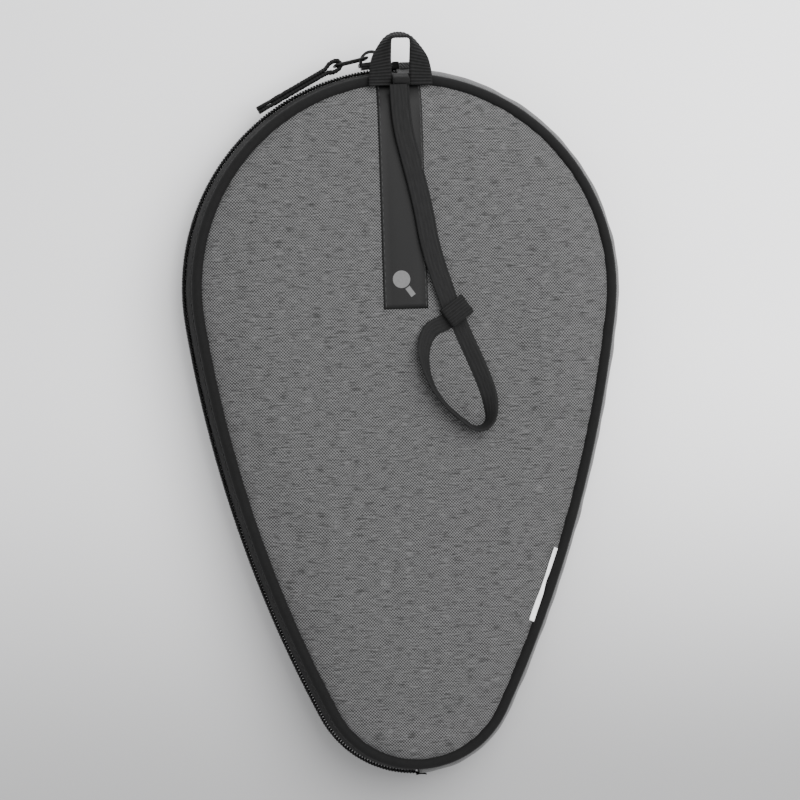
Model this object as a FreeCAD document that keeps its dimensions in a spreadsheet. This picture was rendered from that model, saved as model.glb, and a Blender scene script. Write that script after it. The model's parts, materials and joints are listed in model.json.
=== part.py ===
"""Paddle case: a padded, zipped cover for one table tennis bat.

The case lies on its back. +Z points out of its front, +Y towards the hanging
loop, +X to the right as seen from the front. The origin is on the surface it
lies on, under the middle of its box. Lengths are millimetres.

The plan is an egg made of tangent arcs: a head arc, a tip arc and two long side
arcs. Every strip round the edge shares those centres and differs by an inset.
"""
import FreeCAD
import Part
import math
import os

import Sketcher

Vector = FreeCAD.Vector
Rotation = FreeCAD.Rotation
Placement = FreeCAD.Placement
UP = Vector(0, 0, 1)

DIMENSIONS = {
    # plan of the case, to the outermost line of its side
    "head_radius": 91.9,
    "tip_radius": 44.6,
    "side_radius": 535.6,
    "centre_gap": 158.2,
    "head_y": 48.15,
    # section of the case
    "case_depth": 30.0,
    "side_bow": 3.3,
    "bow_radius": 15.2,
    "tape_bow_radius": 19.9,
    "bow_end_rise": 4.4,
    "piping_radius": 2.3,
    "piping_cord_radius": 1.5,
    # layers
    "fabric": 0.8,
    "foam": 2.2,
    "lining": 0.4,
    "gusset_foam": 1.6,
    "gusset_layer_setback": 0.7,
    "seat_gap": 0.1,
    "crown_edge_z": 28.6,
    "crown_rise": 3.6,
    "crown_width": 20.0,
    "binding_inset": 8.2,
    "binding_thickness": 0.8,
    "binding_rise": 5.0,
    "binding_width": 4.0,
    # fold between the fixed front and the flap
    "fold_x": 22.0,
    "fold_gap": 0.6,
    "tape_fold_x": 42.0,
    # zipper
    "tape": 0.7,
    "coil_height": 1.6,
    "coil_width": 1.4,
    "coil_gap": 1.6,
    "zip_stop_start_x": -0.6,
    "zip_stop_width": 4.0,
    "zip_stop_height": 8.0,
    "zip_stop_thickness": 1.0,
    # slider and its pull
    "slider_length": 11.0,
    "slider_width": 7.2,
    "slider_angle": 6.0,
    "slider_inner_face": 87.3,
    "slider_inner_plate": 1.2,
    "slider_outer_face": 93.5,
    "slider_outer_plate": 1.4,
    "slider_post_width": 1.0,
    "slider_post_length": 3.0,
    "slider_corner": 1.4,
    "bail_outer_radius": 5.1,
    "bail_inner_radius": 3.9,
    "bail_width": 2.0,
    "link_bar_offset": 1.9,
    "link_bar_radius": 96.9,
    "link_length": 13.6,
    "link_half_width": 4.3,
    "link_corner": 1.2,
    "link_wire_radius": 0.55,
    "link_turn": 192.6,
    "tab_turn": 207.8,
    "tab_length": 37.0,
    "tab_width": 6.6,
    "tab_eye_radius": 2.6,
    "tab_hole_radius": 0.95,
    "tab_root_x": 1.8,
    "tab_root_thickness": 3.2,
    "tab_end_thickness": 2.4,
    # hanging loop
    "loop_centre_x": 0.0,
    "loop_leg_x": 8.3,
    "loop_webbing": 10.0,
    "loop_thickness": 1.4,
    "loop_base_y": 131.5,
    "loop_edge_y": 141.0,
    "loop_edge_x": 8.0,
    "loop_shoulder_y": 148.7,
    "loop_shoulder_x": 6.0,
    "loop_shoulder_lean": 38.0,
    "loop_shoulder_thickness": 1.7,
    "loop_top_y": 155.65,
    "loop_top_thickness": 2.2,
    "loop_z": 31.3,
    # band, mark and label
    "band_x": -0.9,
    "band_width": 18.4,
    "band_end_y": 39.3,
    "band_setback": 0.9,
    "band_thickness": 0.6,
    "mark_x": -2.5,
    "mark_y": 51.5,
    "mark_turn": 35.0,
    "mark_disc_radius": 3.6,
    "mark_handle_width": 2.2,
    "mark_handle_length": 4.2,
    "mark_gap": 0.5,
    "mark_thickness": 0.25,
    "label_length": 32.0,
    "label_width": 2.2,
    "label_thickness": 0.5,
    "label_turn": -20.6,
    "label_overlap": 0.3,
    "label_lift": 0.7,
    # wrist strap
    "strap_width": 7.5,
    "strap_thickness": 1.1,
    "strap_z": 34.2,
    "strap_layer_gap": 0.2,
    "anchor_length": 4.5,
    "anchor_width": 5.4,
    "keeper_length": 9.0,
    "keeper_width": 10.2,
    "keeper_wall": 0.7,
    "keeper_side_wall": 1.0,
    "keeper_clearance": 0.4,
    "keeper_overhang": 1.5,
}

# Routes of the wrist strap, as points that its straight runs pass through.
STRAP_RUN = [(-1.0, 131.3), (-0.9, 117.5), (2.4, 102.5), (7.3, 81.5), (9.9, 63.0), (18.4, 37.0)]
STRAP_LOOP = [(15.9, 33.0), (6.9, 28.2), (4.1, 16.8), (7.4, 4.8), (14.6, -4.6), (23.7, -11.2),
              (31.2, -9.3), (34.6, -0.4), (33.0, 11.0), (28.6, 22.8), (22.6, 34.6)]
BEND_SHARE = 0.45


class Size:
    """A length with its value now and its formula in the sheet."""

    def __init__(self, value, formula):
        self.value = value
        self.formula = formula

    def __add__(self, other):
        return Size(self.value + other.value, f"{self.formula} + {other.formula}")

    def __sub__(self, other):
        return Size(self.value - other.value, f"{self.formula} - ({other.formula})")

    def __mul__(self, factor):
        return Size(self.value * factor, f"({self.formula}) * {factor}")


def dim(name):
    return Size(DIMENSIONS[name], f"Dims.{name}")


ZERO = Size(0.0, "0")
MIDDLE_Z = dim("case_depth") * 0.5
PANEL_INSET = dim("side_bow") + dim("piping_radius") * 2
PIPING_INSET = dim("side_bow") + dim("piping_radius")

doc = FreeCAD.newDocument("paddle_case")
sheet = doc.addObject("Spreadsheet::Sheet", "Dims")
for row, (alias, number) in enumerate(DIMENSIONS.items(), start=1):
    sheet.set(f"A{row}", alias)
    sheet.set(f"B{row}", str(number))
    sheet.setAlias(f"B{row}", alias)
doc.recompute()

subparts = {}


# ---------------------------------------------------------------- document helpers

def new_body(name):
    """A body that becomes one sub-part and one file."""
    body = doc.addObject("PartDesign::Body", name)
    body.Label = name
    subparts[name] = body
    return body


def new_sketch(body, name, role="XY_Plane", offset=ZERO):
    """A sketch on one of the body's own origin planes, moved along its normal."""
    sketch = body.newObject("Sketcher::SketchObject", name)
    plane = [item for item in body.Origin.OriginFeatures if item.Role == role][0]
    sketch.AttachmentSupport = [(plane, "")]
    sketch.MapMode = "FlatFace"
    sketch.setExpression("AttachmentOffset.Base.z", offset.formula)
    return sketch


def bind(sketch, constraint, name, size):
    index = sketch.addConstraint(constraint)
    sketch.renameConstraint(index, name)
    sketch.setExpression(f"Constraints.{name}", size.formula)


def place_point(sketch, element, end, x, y, name):
    """Ties one end of an element to the sketch's origin."""
    bind(sketch, Sketcher.Constraint("DistanceX", -1, 1, element, end, x.value), f"{name}_x", x)
    bind(sketch, Sketcher.Constraint("DistanceY", -1, 1, element, end, y.value), f"{name}_y", y)


def add_polygon(sketch, points, name="corner"):
    """A closed polygon whose corners are bound to the sheet."""
    first = sketch.GeometryCount
    count = len(points)
    for index in range(count):
        start, end = points[index], points[(index + 1) % count]
        sketch.addGeometry(Part.LineSegment(Vector(start[0].value, start[1].value, 0),
                                            Vector(end[0].value, end[1].value, 0)))
    for index in range(count):
        following = first + (index + 1) % count
        sketch.addConstraint(Sketcher.Constraint("Coincident", first + index, 2, following, 1))
    for index, (x, y) in enumerate(points):
        place_point(sketch, first + index, 1, x, y, f"{name}{index}")


def add_circle(sketch, x, y, radius, name="circle"):
    index = sketch.addGeometry(Part.Circle(Vector(x.value, y.value, 0), UP, radius.value))
    place_point(sketch, index, 3, x, y, name)
    bind(sketch, Sketcher.Constraint("Radius", index, radius.value), f"{name}_radius", radius)


def pad(body, sketch, length, symmetric=False):
    feature = body.newObject("PartDesign::Pad", f"{sketch.Name}_pad")
    feature.Profile = sketch
    feature.setExpression("Length", length.formula)
    feature.SideType = "Symmetric" if symmetric else "One side"
    return feature


def pipe(body, profile, spine, kind="PartDesign::AdditivePipe"):
    feature = body.newObject(kind, f"{profile.Name}_pipe")
    feature.Profile = profile
    feature.Spine = (spine, [])
    return feature


# ---------------------------------------------------------------- the egg outline

def outline_angles():
    """Angles at which a right-hand side arc starts and ends, and its centre."""
    head = DIMENSIONS["side_radius"] - DIMENSIONS["head_radius"]
    tip = DIMENSIONS["side_radius"] - DIMENSIONS["tip_radius"]
    gap = DIMENSIONS["centre_gap"]
    drop = (head ** 2 - tip ** 2 + gap ** 2) / (2 * gap)
    reach = math.sqrt(head ** 2 - drop ** 2)
    centre = Vector(-reach, DIMENSIONS["head_y"] - drop, 0)
    upper = math.atan2(drop, reach)
    lower = math.atan2(drop - gap, reach)
    return upper, lower, centre


SIDE_TOP, SIDE_BOTTOM, SIDE_CENTRE = outline_angles()
SIDE_CENTRE_MIRRORED = Vector(-SIDE_CENTRE.x, SIDE_CENTRE.y, 0)


def outline_radius(name, inset):
    return dim(name) - inset


def section_y(inset):
    """Place of an inset on the Y axis, above the head centre."""
    return dim("head_y") + dim("head_radius") - inset


def arc(centre, radius, start, end):
    return Part.ArcOfCircle(Part.Circle(centre, UP, radius.value), start, end)


def outline_arcs(inset):
    """The arcs of the left half from head to tip, then of the right half from tip to head."""
    head = Vector(0, DIMENSIONS["head_y"], 0)
    tip = Vector(0, DIMENSIONS["head_y"] - DIMENSIONS["centre_gap"], 0)
    radii = {name: outline_radius(name, inset) for name in ("head_radius", "tip_radius", "side_radius")}
    left = [arc(head, radii["head_radius"], math.pi / 2, math.pi - SIDE_TOP),
            arc(SIDE_CENTRE_MIRRORED, radii["side_radius"], math.pi - SIDE_TOP, math.pi - SIDE_BOTTOM),
            arc(tip, radii["tip_radius"], math.pi - SIDE_BOTTOM, 1.5 * math.pi)]
    right = [arc(tip, radii["tip_radius"], -math.pi / 2, SIDE_BOTTOM),
             arc(SIDE_CENTRE, radii["side_radius"], SIDE_BOTTOM, SIDE_TOP),
             arc(head, radii["head_radius"], SIDE_TOP, math.pi / 2)]
    return left, right


def constrain_half(sketch, first, inset, head, tip, name):
    """Three tangent arcs with ends on the Y axis and centres at the head and the tip."""
    place_point(sketch, first + head, 3, ZERO, dim("head_y"), f"{name}_head")
    place_point(sketch, first + tip, 3, ZERO, dim("head_y") - dim("centre_gap"), f"{name}_tip")
    for index, size in ((head, "head_radius"), (1, "side_radius"), (tip, "tip_radius")):
        radius = outline_radius(size, inset)
        bind(sketch, Sketcher.Constraint("Radius", first + index, radius.value), f"{name}_{size}", radius)
    for index in (0, 1):
        sketch.addConstraint(Sketcher.Constraint("Tangent", first + index, 2, first + index + 1, 1))
    sketch.addConstraint(Sketcher.Constraint("PointOnObject", first, 1, -2))
    sketch.addConstraint(Sketcher.Constraint("PointOnObject", first + 2, 2, -2))


def half_outline(body, name, inset, side):
    """Open path along one half of the outline, from one point on the Y axis to the other."""
    sketch = new_sketch(body, name)
    left, right = outline_arcs(inset)
    sketch.addGeometry(left if side == "left" else right)
    head, tip = (0, 2) if side == "left" else (2, 0)
    constrain_half(sketch, 0, inset, head, tip, side)
    return sketch


def full_outline(body, name, inset, offset=ZERO):
    """Closed outline at an inset, as a left and a right half that share their ends."""
    sketch = new_sketch(body, name, offset=offset)
    left, right = outline_arcs(inset)
    sketch.addGeometry(left + right)
    constrain_half(sketch, 0, inset, 0, 2, "left")
    constrain_half(sketch, 3, inset, 2, 0, "right")
    return sketch


def edge_strip(name, side, draw, draw_bore=None):
    """A body swept round the outline, with its section drawn in the plane x = 0."""
    body = new_body(name)
    if side == "full":
        spine = full_outline(body, f"{name}_path", PIPING_INSET)
    else:
        spine = half_outline(body, f"{name}_path", PIPING_INSET, side)
    profile = new_sketch(body, f"{name}_section", "YZ_Plane")
    draw(profile)
    pipe(body, profile, spine)
    if draw_bore:
        bore = new_sketch(body, f"{name}_bore", "YZ_Plane")
        draw_bore(bore)
        pipe(body, bore, spine, "PartDesign::SubtractivePipe")
    return body


# ---------------------------------------------------------------- sections of the strips

def bow_band(depth, bow_radius, thickness, low_z, high_z):
    """Section of a bowed side layer whose outer face lies at a depth under the outermost line."""
    def draw(sketch):
        centre_y = section_y(depth + bow_radius)
        outer = bow_radius
        inner = outer - thickness
        ends = []
        for z in (low_z, high_z):
            ends.append(math.asin((z.value - MIDDLE_Z.value) / outer.value))
        centre = Vector(centre_y.value, MIDDLE_Z.value, 0)
        sketch.addGeometry(arc(centre, outer, *ends))
        sketch.addGeometry(arc(centre, inner, *ends))
        for end in ends:
            ray = Vector(math.cos(end), math.sin(end), 0)
            sketch.addGeometry(Part.LineSegment(centre + ray * inner.value, centre + ray * outer.value))
        for index, radius in ((0, outer), (1, inner)):
            place_point(sketch, index, 3, centre_y, MIDDLE_Z, f"centre{index}")
            bind(sketch, Sketcher.Constraint("Radius", index, radius.value), f"radius{index}", radius)
        for line, end, z in ((2, 1, low_z), (3, 2, high_z)):
            sketch.addConstraint(Sketcher.Constraint("Coincident", line, 1, 1, end))
            sketch.addConstraint(Sketcher.Constraint("Coincident", line, 2, 0, end))
            sketch.addConstraint(Sketcher.Constraint("PointOnObject", 0, 3, line))
            bind(sketch, Sketcher.Constraint("DistanceY", -1, 1, line, 2, z.value), f"end{line}", z)
    return draw


def round_section(z, radius):
    def draw(sketch):
        add_circle(sketch, section_y(PIPING_INSET), z, radius)
    return draw


def box_section(inset, width, low_z, height):
    """Upright rectangle whose outer side lies at the inset."""
    def draw(sketch):
        outer, inner = section_y(inset), section_y(inset + width)
        high_z = low_z + height
        add_polygon(sketch, [(inner, low_z), (outer, low_z), (outer, high_z), (inner, high_z)])
    return draw


# ---------------------------------------------------------------- splitting at the fold

def cut_at_fold(body, keep, upper=None):
    """Removes what lies beyond the fold, leaving half of the fold gap on this side.

    keep is "fixed" for the part right of the fold or "flap" for the part left of it. The
    zipper's front tape folds further left along the head than along the tip.
    """
    reach = dim("head_radius") * 2
    half_gap = dim("fold_gap") * 0.5
    shift = half_gap if keep == "flap" else half_gap * -1
    far_x = reach if keep == "flap" else reach * -1
    lower_x = (dim("fold_x") + shift) * -1
    corners = [(far_x, reach * -1), (lower_x, reach * -1), (lower_x, reach), (far_x, reach)]
    if upper:
        upper_x = (upper + shift) * -1
        corners[2:3] = [(lower_x, ZERO), (upper_x, ZERO), (upper_x, reach)]
    sketch = new_sketch(body, f"{body.Name}_fold")
    add_polygon(sketch, corners)
    cut = body.newObject("PartDesign::Pocket", f"{body.Name}_fold_cut")
    cut.Profile = sketch
    cut.SideType = "Symmetric"
    cut.Type = "Length"
    cut.setExpression("Length", "4 * Dims.case_depth")
    return body


# ---------------------------------------------------------------- panels

def back_layer(name, bottom, thickness):
    body = new_body(name)
    pad(body, full_outline(body, f"{name}_outline", PANEL_INSET, bottom), thickness)


def front_layer(name, top, thickness, keep):
    """One layer of the crowned front: a sloping rim round a flat middle."""
    body = new_body(name)
    low, high = top - thickness, top
    rim = PANEL_INSET + dim("crown_width")
    spine = full_outline(body, f"{name}_path", PANEL_INSET)
    section = new_sketch(body, f"{name}_section", "YZ_Plane")
    outer, inner = section_y(PANEL_INSET), section_y(rim)
    add_polygon(section, [(outer, low), (outer, high), (inner, high + dim("crown_rise")),
                          (inner, low + dim("crown_rise"))])
    pipe(body, section, spine)
    middle = full_outline(body, f"{name}_middle", rim, low + dim("crown_rise"))
    pad(body, middle, thickness)
    return cut_at_fold(body, keep)


def build_panels():
    back_layer("back_panel_outer", ZERO, dim("fabric"))
    back_layer("back_panel_foam", dim("fabric"), dim("foam"))
    back_layer("back_panel_lining", dim("fabric") + dim("foam"), dim("lining"))
    for keep, prefix in (("fixed", "front_panel"), ("flap", "flap_panel")):
        top = dim("crown_edge_z")
        front_layer(f"{prefix}_outer", top, dim("fabric"), keep)
        front_layer(f"{prefix}_foam", top - dim("fabric"), dim("foam"), keep)
        front_layer(f"{prefix}_lining", top - dim("fabric") - dim("foam"), dim("lining"), keep)


# ---------------------------------------------------------------- piping, bindings, gusset

def build_edges():
    back_z = dim("piping_radius")
    front_z = dim("case_depth") - dim("piping_radius")
    radius, cord = dim("piping_radius"), dim("piping_cord_radius")
    binding = (dim("binding_inset"), dim("binding_thickness"))
    front_binding_z = dim("case_depth") - dim("binding_rise") - dim("binding_width")
    edge_strip("back_piping", "full", round_section(back_z, radius), round_section(back_z, cord))
    edge_strip("back_piping_cord", "full", round_section(back_z, cord))
    edge_strip("back_binding", "full", box_section(*binding, dim("binding_rise"), dim("binding_width")))
    for keep, prefix in (("fixed", "front"), ("flap", "flap")):
        cover = edge_strip(f"{prefix}_piping", "full", round_section(front_z, radius),
                           round_section(front_z, cord))
        cut_at_fold(cover, keep)
        cut_at_fold(edge_strip(f"{prefix}_piping_cord", "full", round_section(front_z, cord)), keep)
        section = box_section(*binding, front_binding_z, dim("binding_width"))
        cut_at_fold(edge_strip(f"{prefix}_binding", "full", section), keep)


def build_gusset():
    low, high = dim("bow_end_rise"), dim("case_depth") - dim("bow_end_rise")
    inset = ZERO
    for name, thickness in (("outer", dim("fabric")), ("foam", dim("gusset_foam")), ("lining", dim("lining"))):
        rise = inset * DIMENSIONS["gusset_layer_setback"]
        section = bow_band(inset, dim("bow_radius") - inset, thickness, low + rise, high - rise)
        edge_strip(f"gusset_{name}", "right", section)
        inset = inset + thickness


# ---------------------------------------------------------------- zipper

def build_zipper():
    half_gap = dim("coil_gap") * 0.5
    back_edge, front_edge = MIDDLE_Z - half_gap, MIDDLE_Z + half_gap
    low, high = dim("bow_end_rise"), dim("case_depth") - dim("bow_end_rise")
    coil_depth, tape = dim("coil_height"), dim("tape")
    bow = dim("tape_bow_radius")
    edge_strip("zipper_tape_back", "left", bow_band(coil_depth, bow, tape, low, back_edge))
    coil_low = back_edge - dim("coil_width")
    edge_strip("zipper_coil_back", "left", box_section(ZERO, coil_depth, coil_low, dim("coil_width")))
    for keep, suffix in (("fixed", "front_ends"), ("flap", "flap")):
        section = bow_band(coil_depth, bow, tape, front_edge, high)
        tape_body = edge_strip(f"zipper_tape_{suffix}", "left", section)
        cut_at_fold(tape_body, keep, dim("tape_fold_x"))
        coil = edge_strip(f"zipper_coil_{suffix}", "left",
                          box_section(ZERO, coil_depth, front_edge, dim("coil_width")))
        cut_at_fold(coil, keep, dim("tape_fold_x"))


def build_zipper_stops():
    """Folded fabric tabs that cover the two ends of the chain."""
    half_height = dim("zip_stop_height") * 0.5
    thickness = dim("zip_stop_thickness")
    top_y = dim("head_y") + dim("head_radius")
    bottom_y = dim("head_y") - dim("centre_gap") - dim("tip_radius") - thickness
    for name, y in (("zipper_top_stop", top_y), ("zipper_bottom_stop", bottom_y)):
        body = new_body(name)
        sketch = new_sketch(body, f"{name}_side", "YZ_Plane", dim("zip_stop_start_x"))
        low, high = MIDDLE_Z - half_height, MIDDLE_Z + half_height
        add_polygon(sketch, [(y, low), (y + thickness, low), (y + thickness, high), (y, high)])
        pad(body, sketch, dim("zip_stop_width"))


# ---------------------------------------------------------------- slider and pull

def at_slider(x, radius):
    """Point of the slider's own frame, in the frame of the case."""
    turn = Rotation(UP, DIMENSIONS["slider_angle"])
    return turn.multVec(Vector(x, radius, 0)) + Vector(0, DIMENSIONS["head_y"], 0)


def round_corners(body, feature, radius):
    """Rounds the corners of both plates: their short edges, which point away from the head centre."""
    doc.recompute()
    corners = []
    half = DIMENSIONS["slider_length"] / 2
    for index, edge in enumerate(feature.Shape.Edges, start=1):
        first, last = edge.Vertexes[0].Point, edge.Vertexes[-1].Point
        at_end = abs(abs(first.x) - half) < 0.01 and abs(abs(last.x) - half) < 0.01
        if at_end and abs(first.y - last.y) > 0.9 and abs(first.z - last.z) < 0.01:
            corners.append(f"Edge{index}")
    fillet = body.newObject("PartDesign::Fillet", f"{body.Name}_rounding")
    fillet.Base = (feature, corners)
    fillet.setExpression("Radius", radius.formula)


def build_slider():
    """Two plates joined by a post between the two rows of the chain, with a bail over the top."""
    inner, outer = dim("slider_inner_face"), dim("slider_outer_face")
    half = dim("slider_length") * 0.5
    seat = Placement(Vector(0, DIMENSIONS["head_y"], 0), Rotation(UP, DIMENSIONS["slider_angle"]))
    body = new_body("zip_slider")
    post = new_sketch(body, "slider_post", offset=MIDDLE_Z)
    inside, nose = inner + dim("slider_inner_plate"), half - dim("slider_corner")
    tail = nose - dim("slider_post_length")
    add_polygon(post, [(tail, inside), (nose, inside), (nose, outer), (tail, outer)])
    pad(body, post, dim("slider_post_width"), symmetric=True)
    plates = new_sketch(body, "slider_plates", offset=MIDDLE_Z)
    for name, low, thickness in (("inner", inner, dim("slider_inner_plate")),
                                 ("outer", outer, dim("slider_outer_plate"))):
        high = low + thickness
        add_polygon(plates, [(half * -1, low), (half, low), (half, high), (half * -1, high)], name)
    plate_pad = pad(body, plates, dim("slider_width"), symmetric=True)
    body.Placement = seat
    round_corners(body, plate_pad, dim("slider_corner"))
    bail = new_body("zip_slider_bail")
    bail_foot = outer + dim("slider_outer_plate")
    sketch = new_sketch(bail, "bail_arch", offset=MIDDLE_Z)
    add_arch(sketch, bail_foot, dim("bail_outer_radius"), dim("bail_inner_radius"))
    pad(bail, sketch, dim("bail_width"), symmetric=True)
    bail.Placement = seat


def add_arch(sketch, foot_y, outer, inner):
    """Half ring that stands on its two feet."""
    centre = Vector(0, foot_y.value, 0)
    sketch.addGeometry(arc(centre, outer, 0, math.pi))
    sketch.addGeometry(arc(centre, inner, 0, math.pi))
    for sign in (1, -1):
        sketch.addGeometry(Part.LineSegment(centre + Vector(sign * inner.value, 0, 0),
                                            centre + Vector(sign * outer.value, 0, 0)))
    for index, radius in ((0, outer), (1, inner)):
        place_point(sketch, index, 3, ZERO, foot_y, f"arch{index}")
        bind(sketch, Sketcher.Constraint("Radius", index, radius.value), f"arch_radius{index}", radius)
    for line, end in ((2, 1), (3, 2)):
        sketch.addConstraint(Sketcher.Constraint("Coincident", line, 1, 1, end))
        sketch.addConstraint(Sketcher.Constraint("Coincident", line, 2, 0, end))
        sketch.addConstraint(Sketcher.Constraint("Horizontal", line))


def build_link():
    """Closed wire loop: one end bar turns in the bail, the other carries the tab."""
    body = new_body("pull_link")
    half_length, half_width = dim("link_length") * 0.5, dim("link_half_width")
    corner = dim("link_corner")
    path = new_sketch(body, "link_path", "XZ_Plane")
    add_rounded_rectangle(path, half_length, half_width, corner)
    section = new_sketch(body, "link_section", "YZ_Plane")
    add_circle(section, ZERO, half_width, dim("link_wire_radius"))
    pipe(body, section, path)
    turn = Rotation(UP, DIMENSIONS["link_turn"])
    bar = at_slider(-DIMENSIONS["link_bar_offset"], DIMENSIONS["link_bar_radius"])
    centre = bar + turn.multVec(Vector(half_length.value, 0, 0))
    body.Placement = Placement(centre + Vector(0, 0, MIDDLE_Z.value), turn)
    return bar + turn.multVec(Vector(DIMENSIONS["link_length"], 0, 0))


def add_rounded_rectangle(sketch, half_x, half_y, corner):
    """Rounded rectangle about the origin, from the middle of its upper side round to it again."""
    x, y, r = half_x.value, half_y.value, corner.value
    straights = [((0, y), (x - r, y)), ((x, y - r), (x, r - y)), ((x - r, -y), (r - x, -y)),
                 ((-x, r - y), (-x, y - r)), ((r - x, y), (0, y))]
    turns = [((x - r, y - r), 0, 0.5), ((x - r, r - y), 1.5, 2), ((r - x, r - y), 1, 1.5), ((r - x, y - r), 0.5, 1)]
    for index, (start, end) in enumerate(straights):
        sketch.addGeometry(Part.LineSegment(Vector(*start, 0), Vector(*end, 0)))
        if index < len(turns):
            centre, first, last = turns[index]
            sketch.addGeometry(arc(Vector(*centre, 0), corner, first * math.pi, last * math.pi))
    for line in (0, 2, 4, 6):
        sketch.addConstraint(Sketcher.Constraint("Tangent", line, 2, line + 1, 2))
        sketch.addConstraint(Sketcher.Constraint("Tangent", line + 1, 1, line + 2, 1))
    sketch.addConstraint(Sketcher.Constraint("Coincident", 8, 2, 0, 1))
    sketch.addConstraint(Sketcher.Constraint("Horizontal", 0))
    sketch.addConstraint(Sketcher.Constraint("PointOnObject", 0, 1, -2))
    for turn in (1, 3, 5, 7):
        bind(sketch, Sketcher.Constraint("Radius", turn, corner.value), f"corner{turn}", corner)
    bind(sketch, Sketcher.Constraint("DistanceY", -1, 1, 0, 1, y), "top", half_y)
    bind(sketch, Sketcher.Constraint("DistanceX", -1, 1, 2, 1, x), "right", half_x)
    bind(sketch, Sketcher.Constraint("DistanceY", 4, 1, -1, 1, y), "bottom", half_y)
    bind(sketch, Sketcher.Constraint("DistanceX", 6, 1, -1, 1, x), "left", half_x)


def build_tab(pivot):
    """Webbing folded round the far bar of the link, its two ends sewn together."""
    body = new_body("pull_tab")
    half_root, half_end = dim("tab_root_thickness") * 0.5, dim("tab_end_thickness") * 0.5
    blade = new_sketch(body, "tab_blade", offset=MIDDLE_Z)
    root_x = dim("tab_root_x")
    add_polygon(blade, [(root_x, half_root * -1), (dim("tab_length"), half_end * -1),
                        (dim("tab_length"), half_end), (root_x, half_root)])
    pad(body, blade, dim("tab_width"), symmetric=True)
    eye = new_sketch(body, "tab_eye", offset=MIDDLE_Z)
    add_circle(eye, ZERO, ZERO, dim("tab_eye_radius"), "eye")
    pad(body, eye, dim("tab_width"), symmetric=True)
    hole = new_sketch(body, "tab_hole", offset=MIDDLE_Z)
    add_circle(hole, ZERO, ZERO, dim("tab_hole_radius"), "hole")
    cut = body.newObject("PartDesign::Pocket", "tab_hole_cut")
    cut.Profile = hole
    cut.SideType = "Symmetric"
    cut.setExpression("Length", "2 * Dims.tab_width")
    body.Placement = Placement(pivot, Rotation(UP, DIMENSIONS["tab_turn"]))


# ---------------------------------------------------------------- hanging loop

def webbing_section(name, width, thickness, centre, rotation):
    """One cross-section of the webbing, as a rectangle about a point."""
    section = doc.addObject("Part::Plane", name)
    section.setExpression("Length", width.formula)
    section.setExpression("Width", thickness.formula)
    corner = rotation.multVec(Vector(width.value / 2, thickness.value / 2, 0))
    section.Placement = Placement(centre - corner, rotation)
    return section


def build_hanging_loop():
    """Webbing sewn on by both ends: flat at the seam, turned on edge over the top."""
    middle, leg = DIMENSIONS["loop_centre_x"], DIMENSIONS["loop_leg_x"]
    z = DIMENSIONS["loop_z"]
    width, thickness = dim("loop_webbing"), dim("loop_thickness")
    across = Rotation(Vector(1, 0, 0), 90)
    lean = -DIMENSIONS["loop_shoulder_lean"]
    leaning = Rotation(UP, lean) * Rotation(Vector(0, 1, 0), lean) * across
    over = Rotation(UP, -90) * Rotation(Vector(0, 1, 0), -90) * across
    sections = [
        webbing_section("loop_seam", width, thickness,
                        Vector(middle - leg, DIMENSIONS["loop_base_y"], z), across),
        webbing_section("loop_edge", width, thickness,
                        Vector(middle - DIMENSIONS["loop_edge_x"], DIMENSIONS["loop_edge_y"], z), across),
        webbing_section("loop_shoulder", width, dim("loop_shoulder_thickness"),
                        Vector(middle - DIMENSIONS["loop_shoulder_x"], DIMENSIONS["loop_shoulder_y"], z),
                        leaning),
        webbing_section("loop_crest", width, dim("loop_top_thickness"),
                        Vector(middle, DIMENSIONS["loop_top_y"] - dim("loop_top_thickness").value / 2, z), over)]
    half = doc.addObject("Part::Loft", "loop_half")
    half.Sections = sections
    half.Solid = True
    half.Ruled = False
    other = doc.addObject("Part::Mirroring", "loop_other_half")
    other.Source = half
    other.Normal = Vector(1, 0, 0)
    other.Base = Vector(middle, 0, 0)
    loop = doc.addObject("Part::Fuse", "hanging_loop")
    loop.Label = "hanging_loop"
    loop.Base = half
    loop.Tool = other
    subparts["hanging_loop"] = loop


# ---------------------------------------------------------------- band, mark, label

def build_band():
    """Smooth band down the front from the seam, following the crown."""
    body = new_body("front_band")
    sketch = new_sketch(body, "band_side", "YZ_Plane", dim("band_x"))
    edge_z = dim("crown_edge_z") + dim("seat_gap")
    flat_z = edge_z + dim("crown_rise")
    rim = PANEL_INSET + dim("crown_width")
    share = DIMENSIONS["band_setback"] / DIMENSIONS["crown_width"]
    start = (section_y(PANEL_INSET + dim("band_setback")), edge_z + dim("crown_rise") * share)
    lower = [start, (section_y(rim), flat_z), (dim("band_end_y"), flat_z)]
    upper = [(y, z + dim("band_thickness")) for y, z in reversed(lower)]
    add_polygon(sketch, lower + upper)
    pad(body, sketch, dim("band_width"), symmetric=True)


def band_top():
    return dim("crown_edge_z") + dim("crown_rise") + dim("seat_gap") + dim("band_thickness")


def build_mark():
    """A plain little bat: a disc and a handle, printed on the band."""
    body = new_body("band_mark")
    sketch = new_sketch(body, "mark_outline", offset=band_top())
    add_circle(sketch, ZERO, ZERO, dim("mark_disc_radius"), "disc")
    half = dim("mark_handle_width") * 0.5
    top = (dim("mark_disc_radius") + dim("mark_gap")) * -1
    bottom = top - dim("mark_handle_length")
    add_polygon(sketch, [(half * -1, bottom), (half, bottom), (half, top), (half * -1, top)], "handle")
    pad(body, sketch, dim("mark_thickness"))
    body.Placement = Placement(Vector(DIMENSIONS["mark_x"], DIMENSIONS["mark_y"], 0),
                               Rotation(UP, DIMENSIONS["mark_turn"]))


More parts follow.
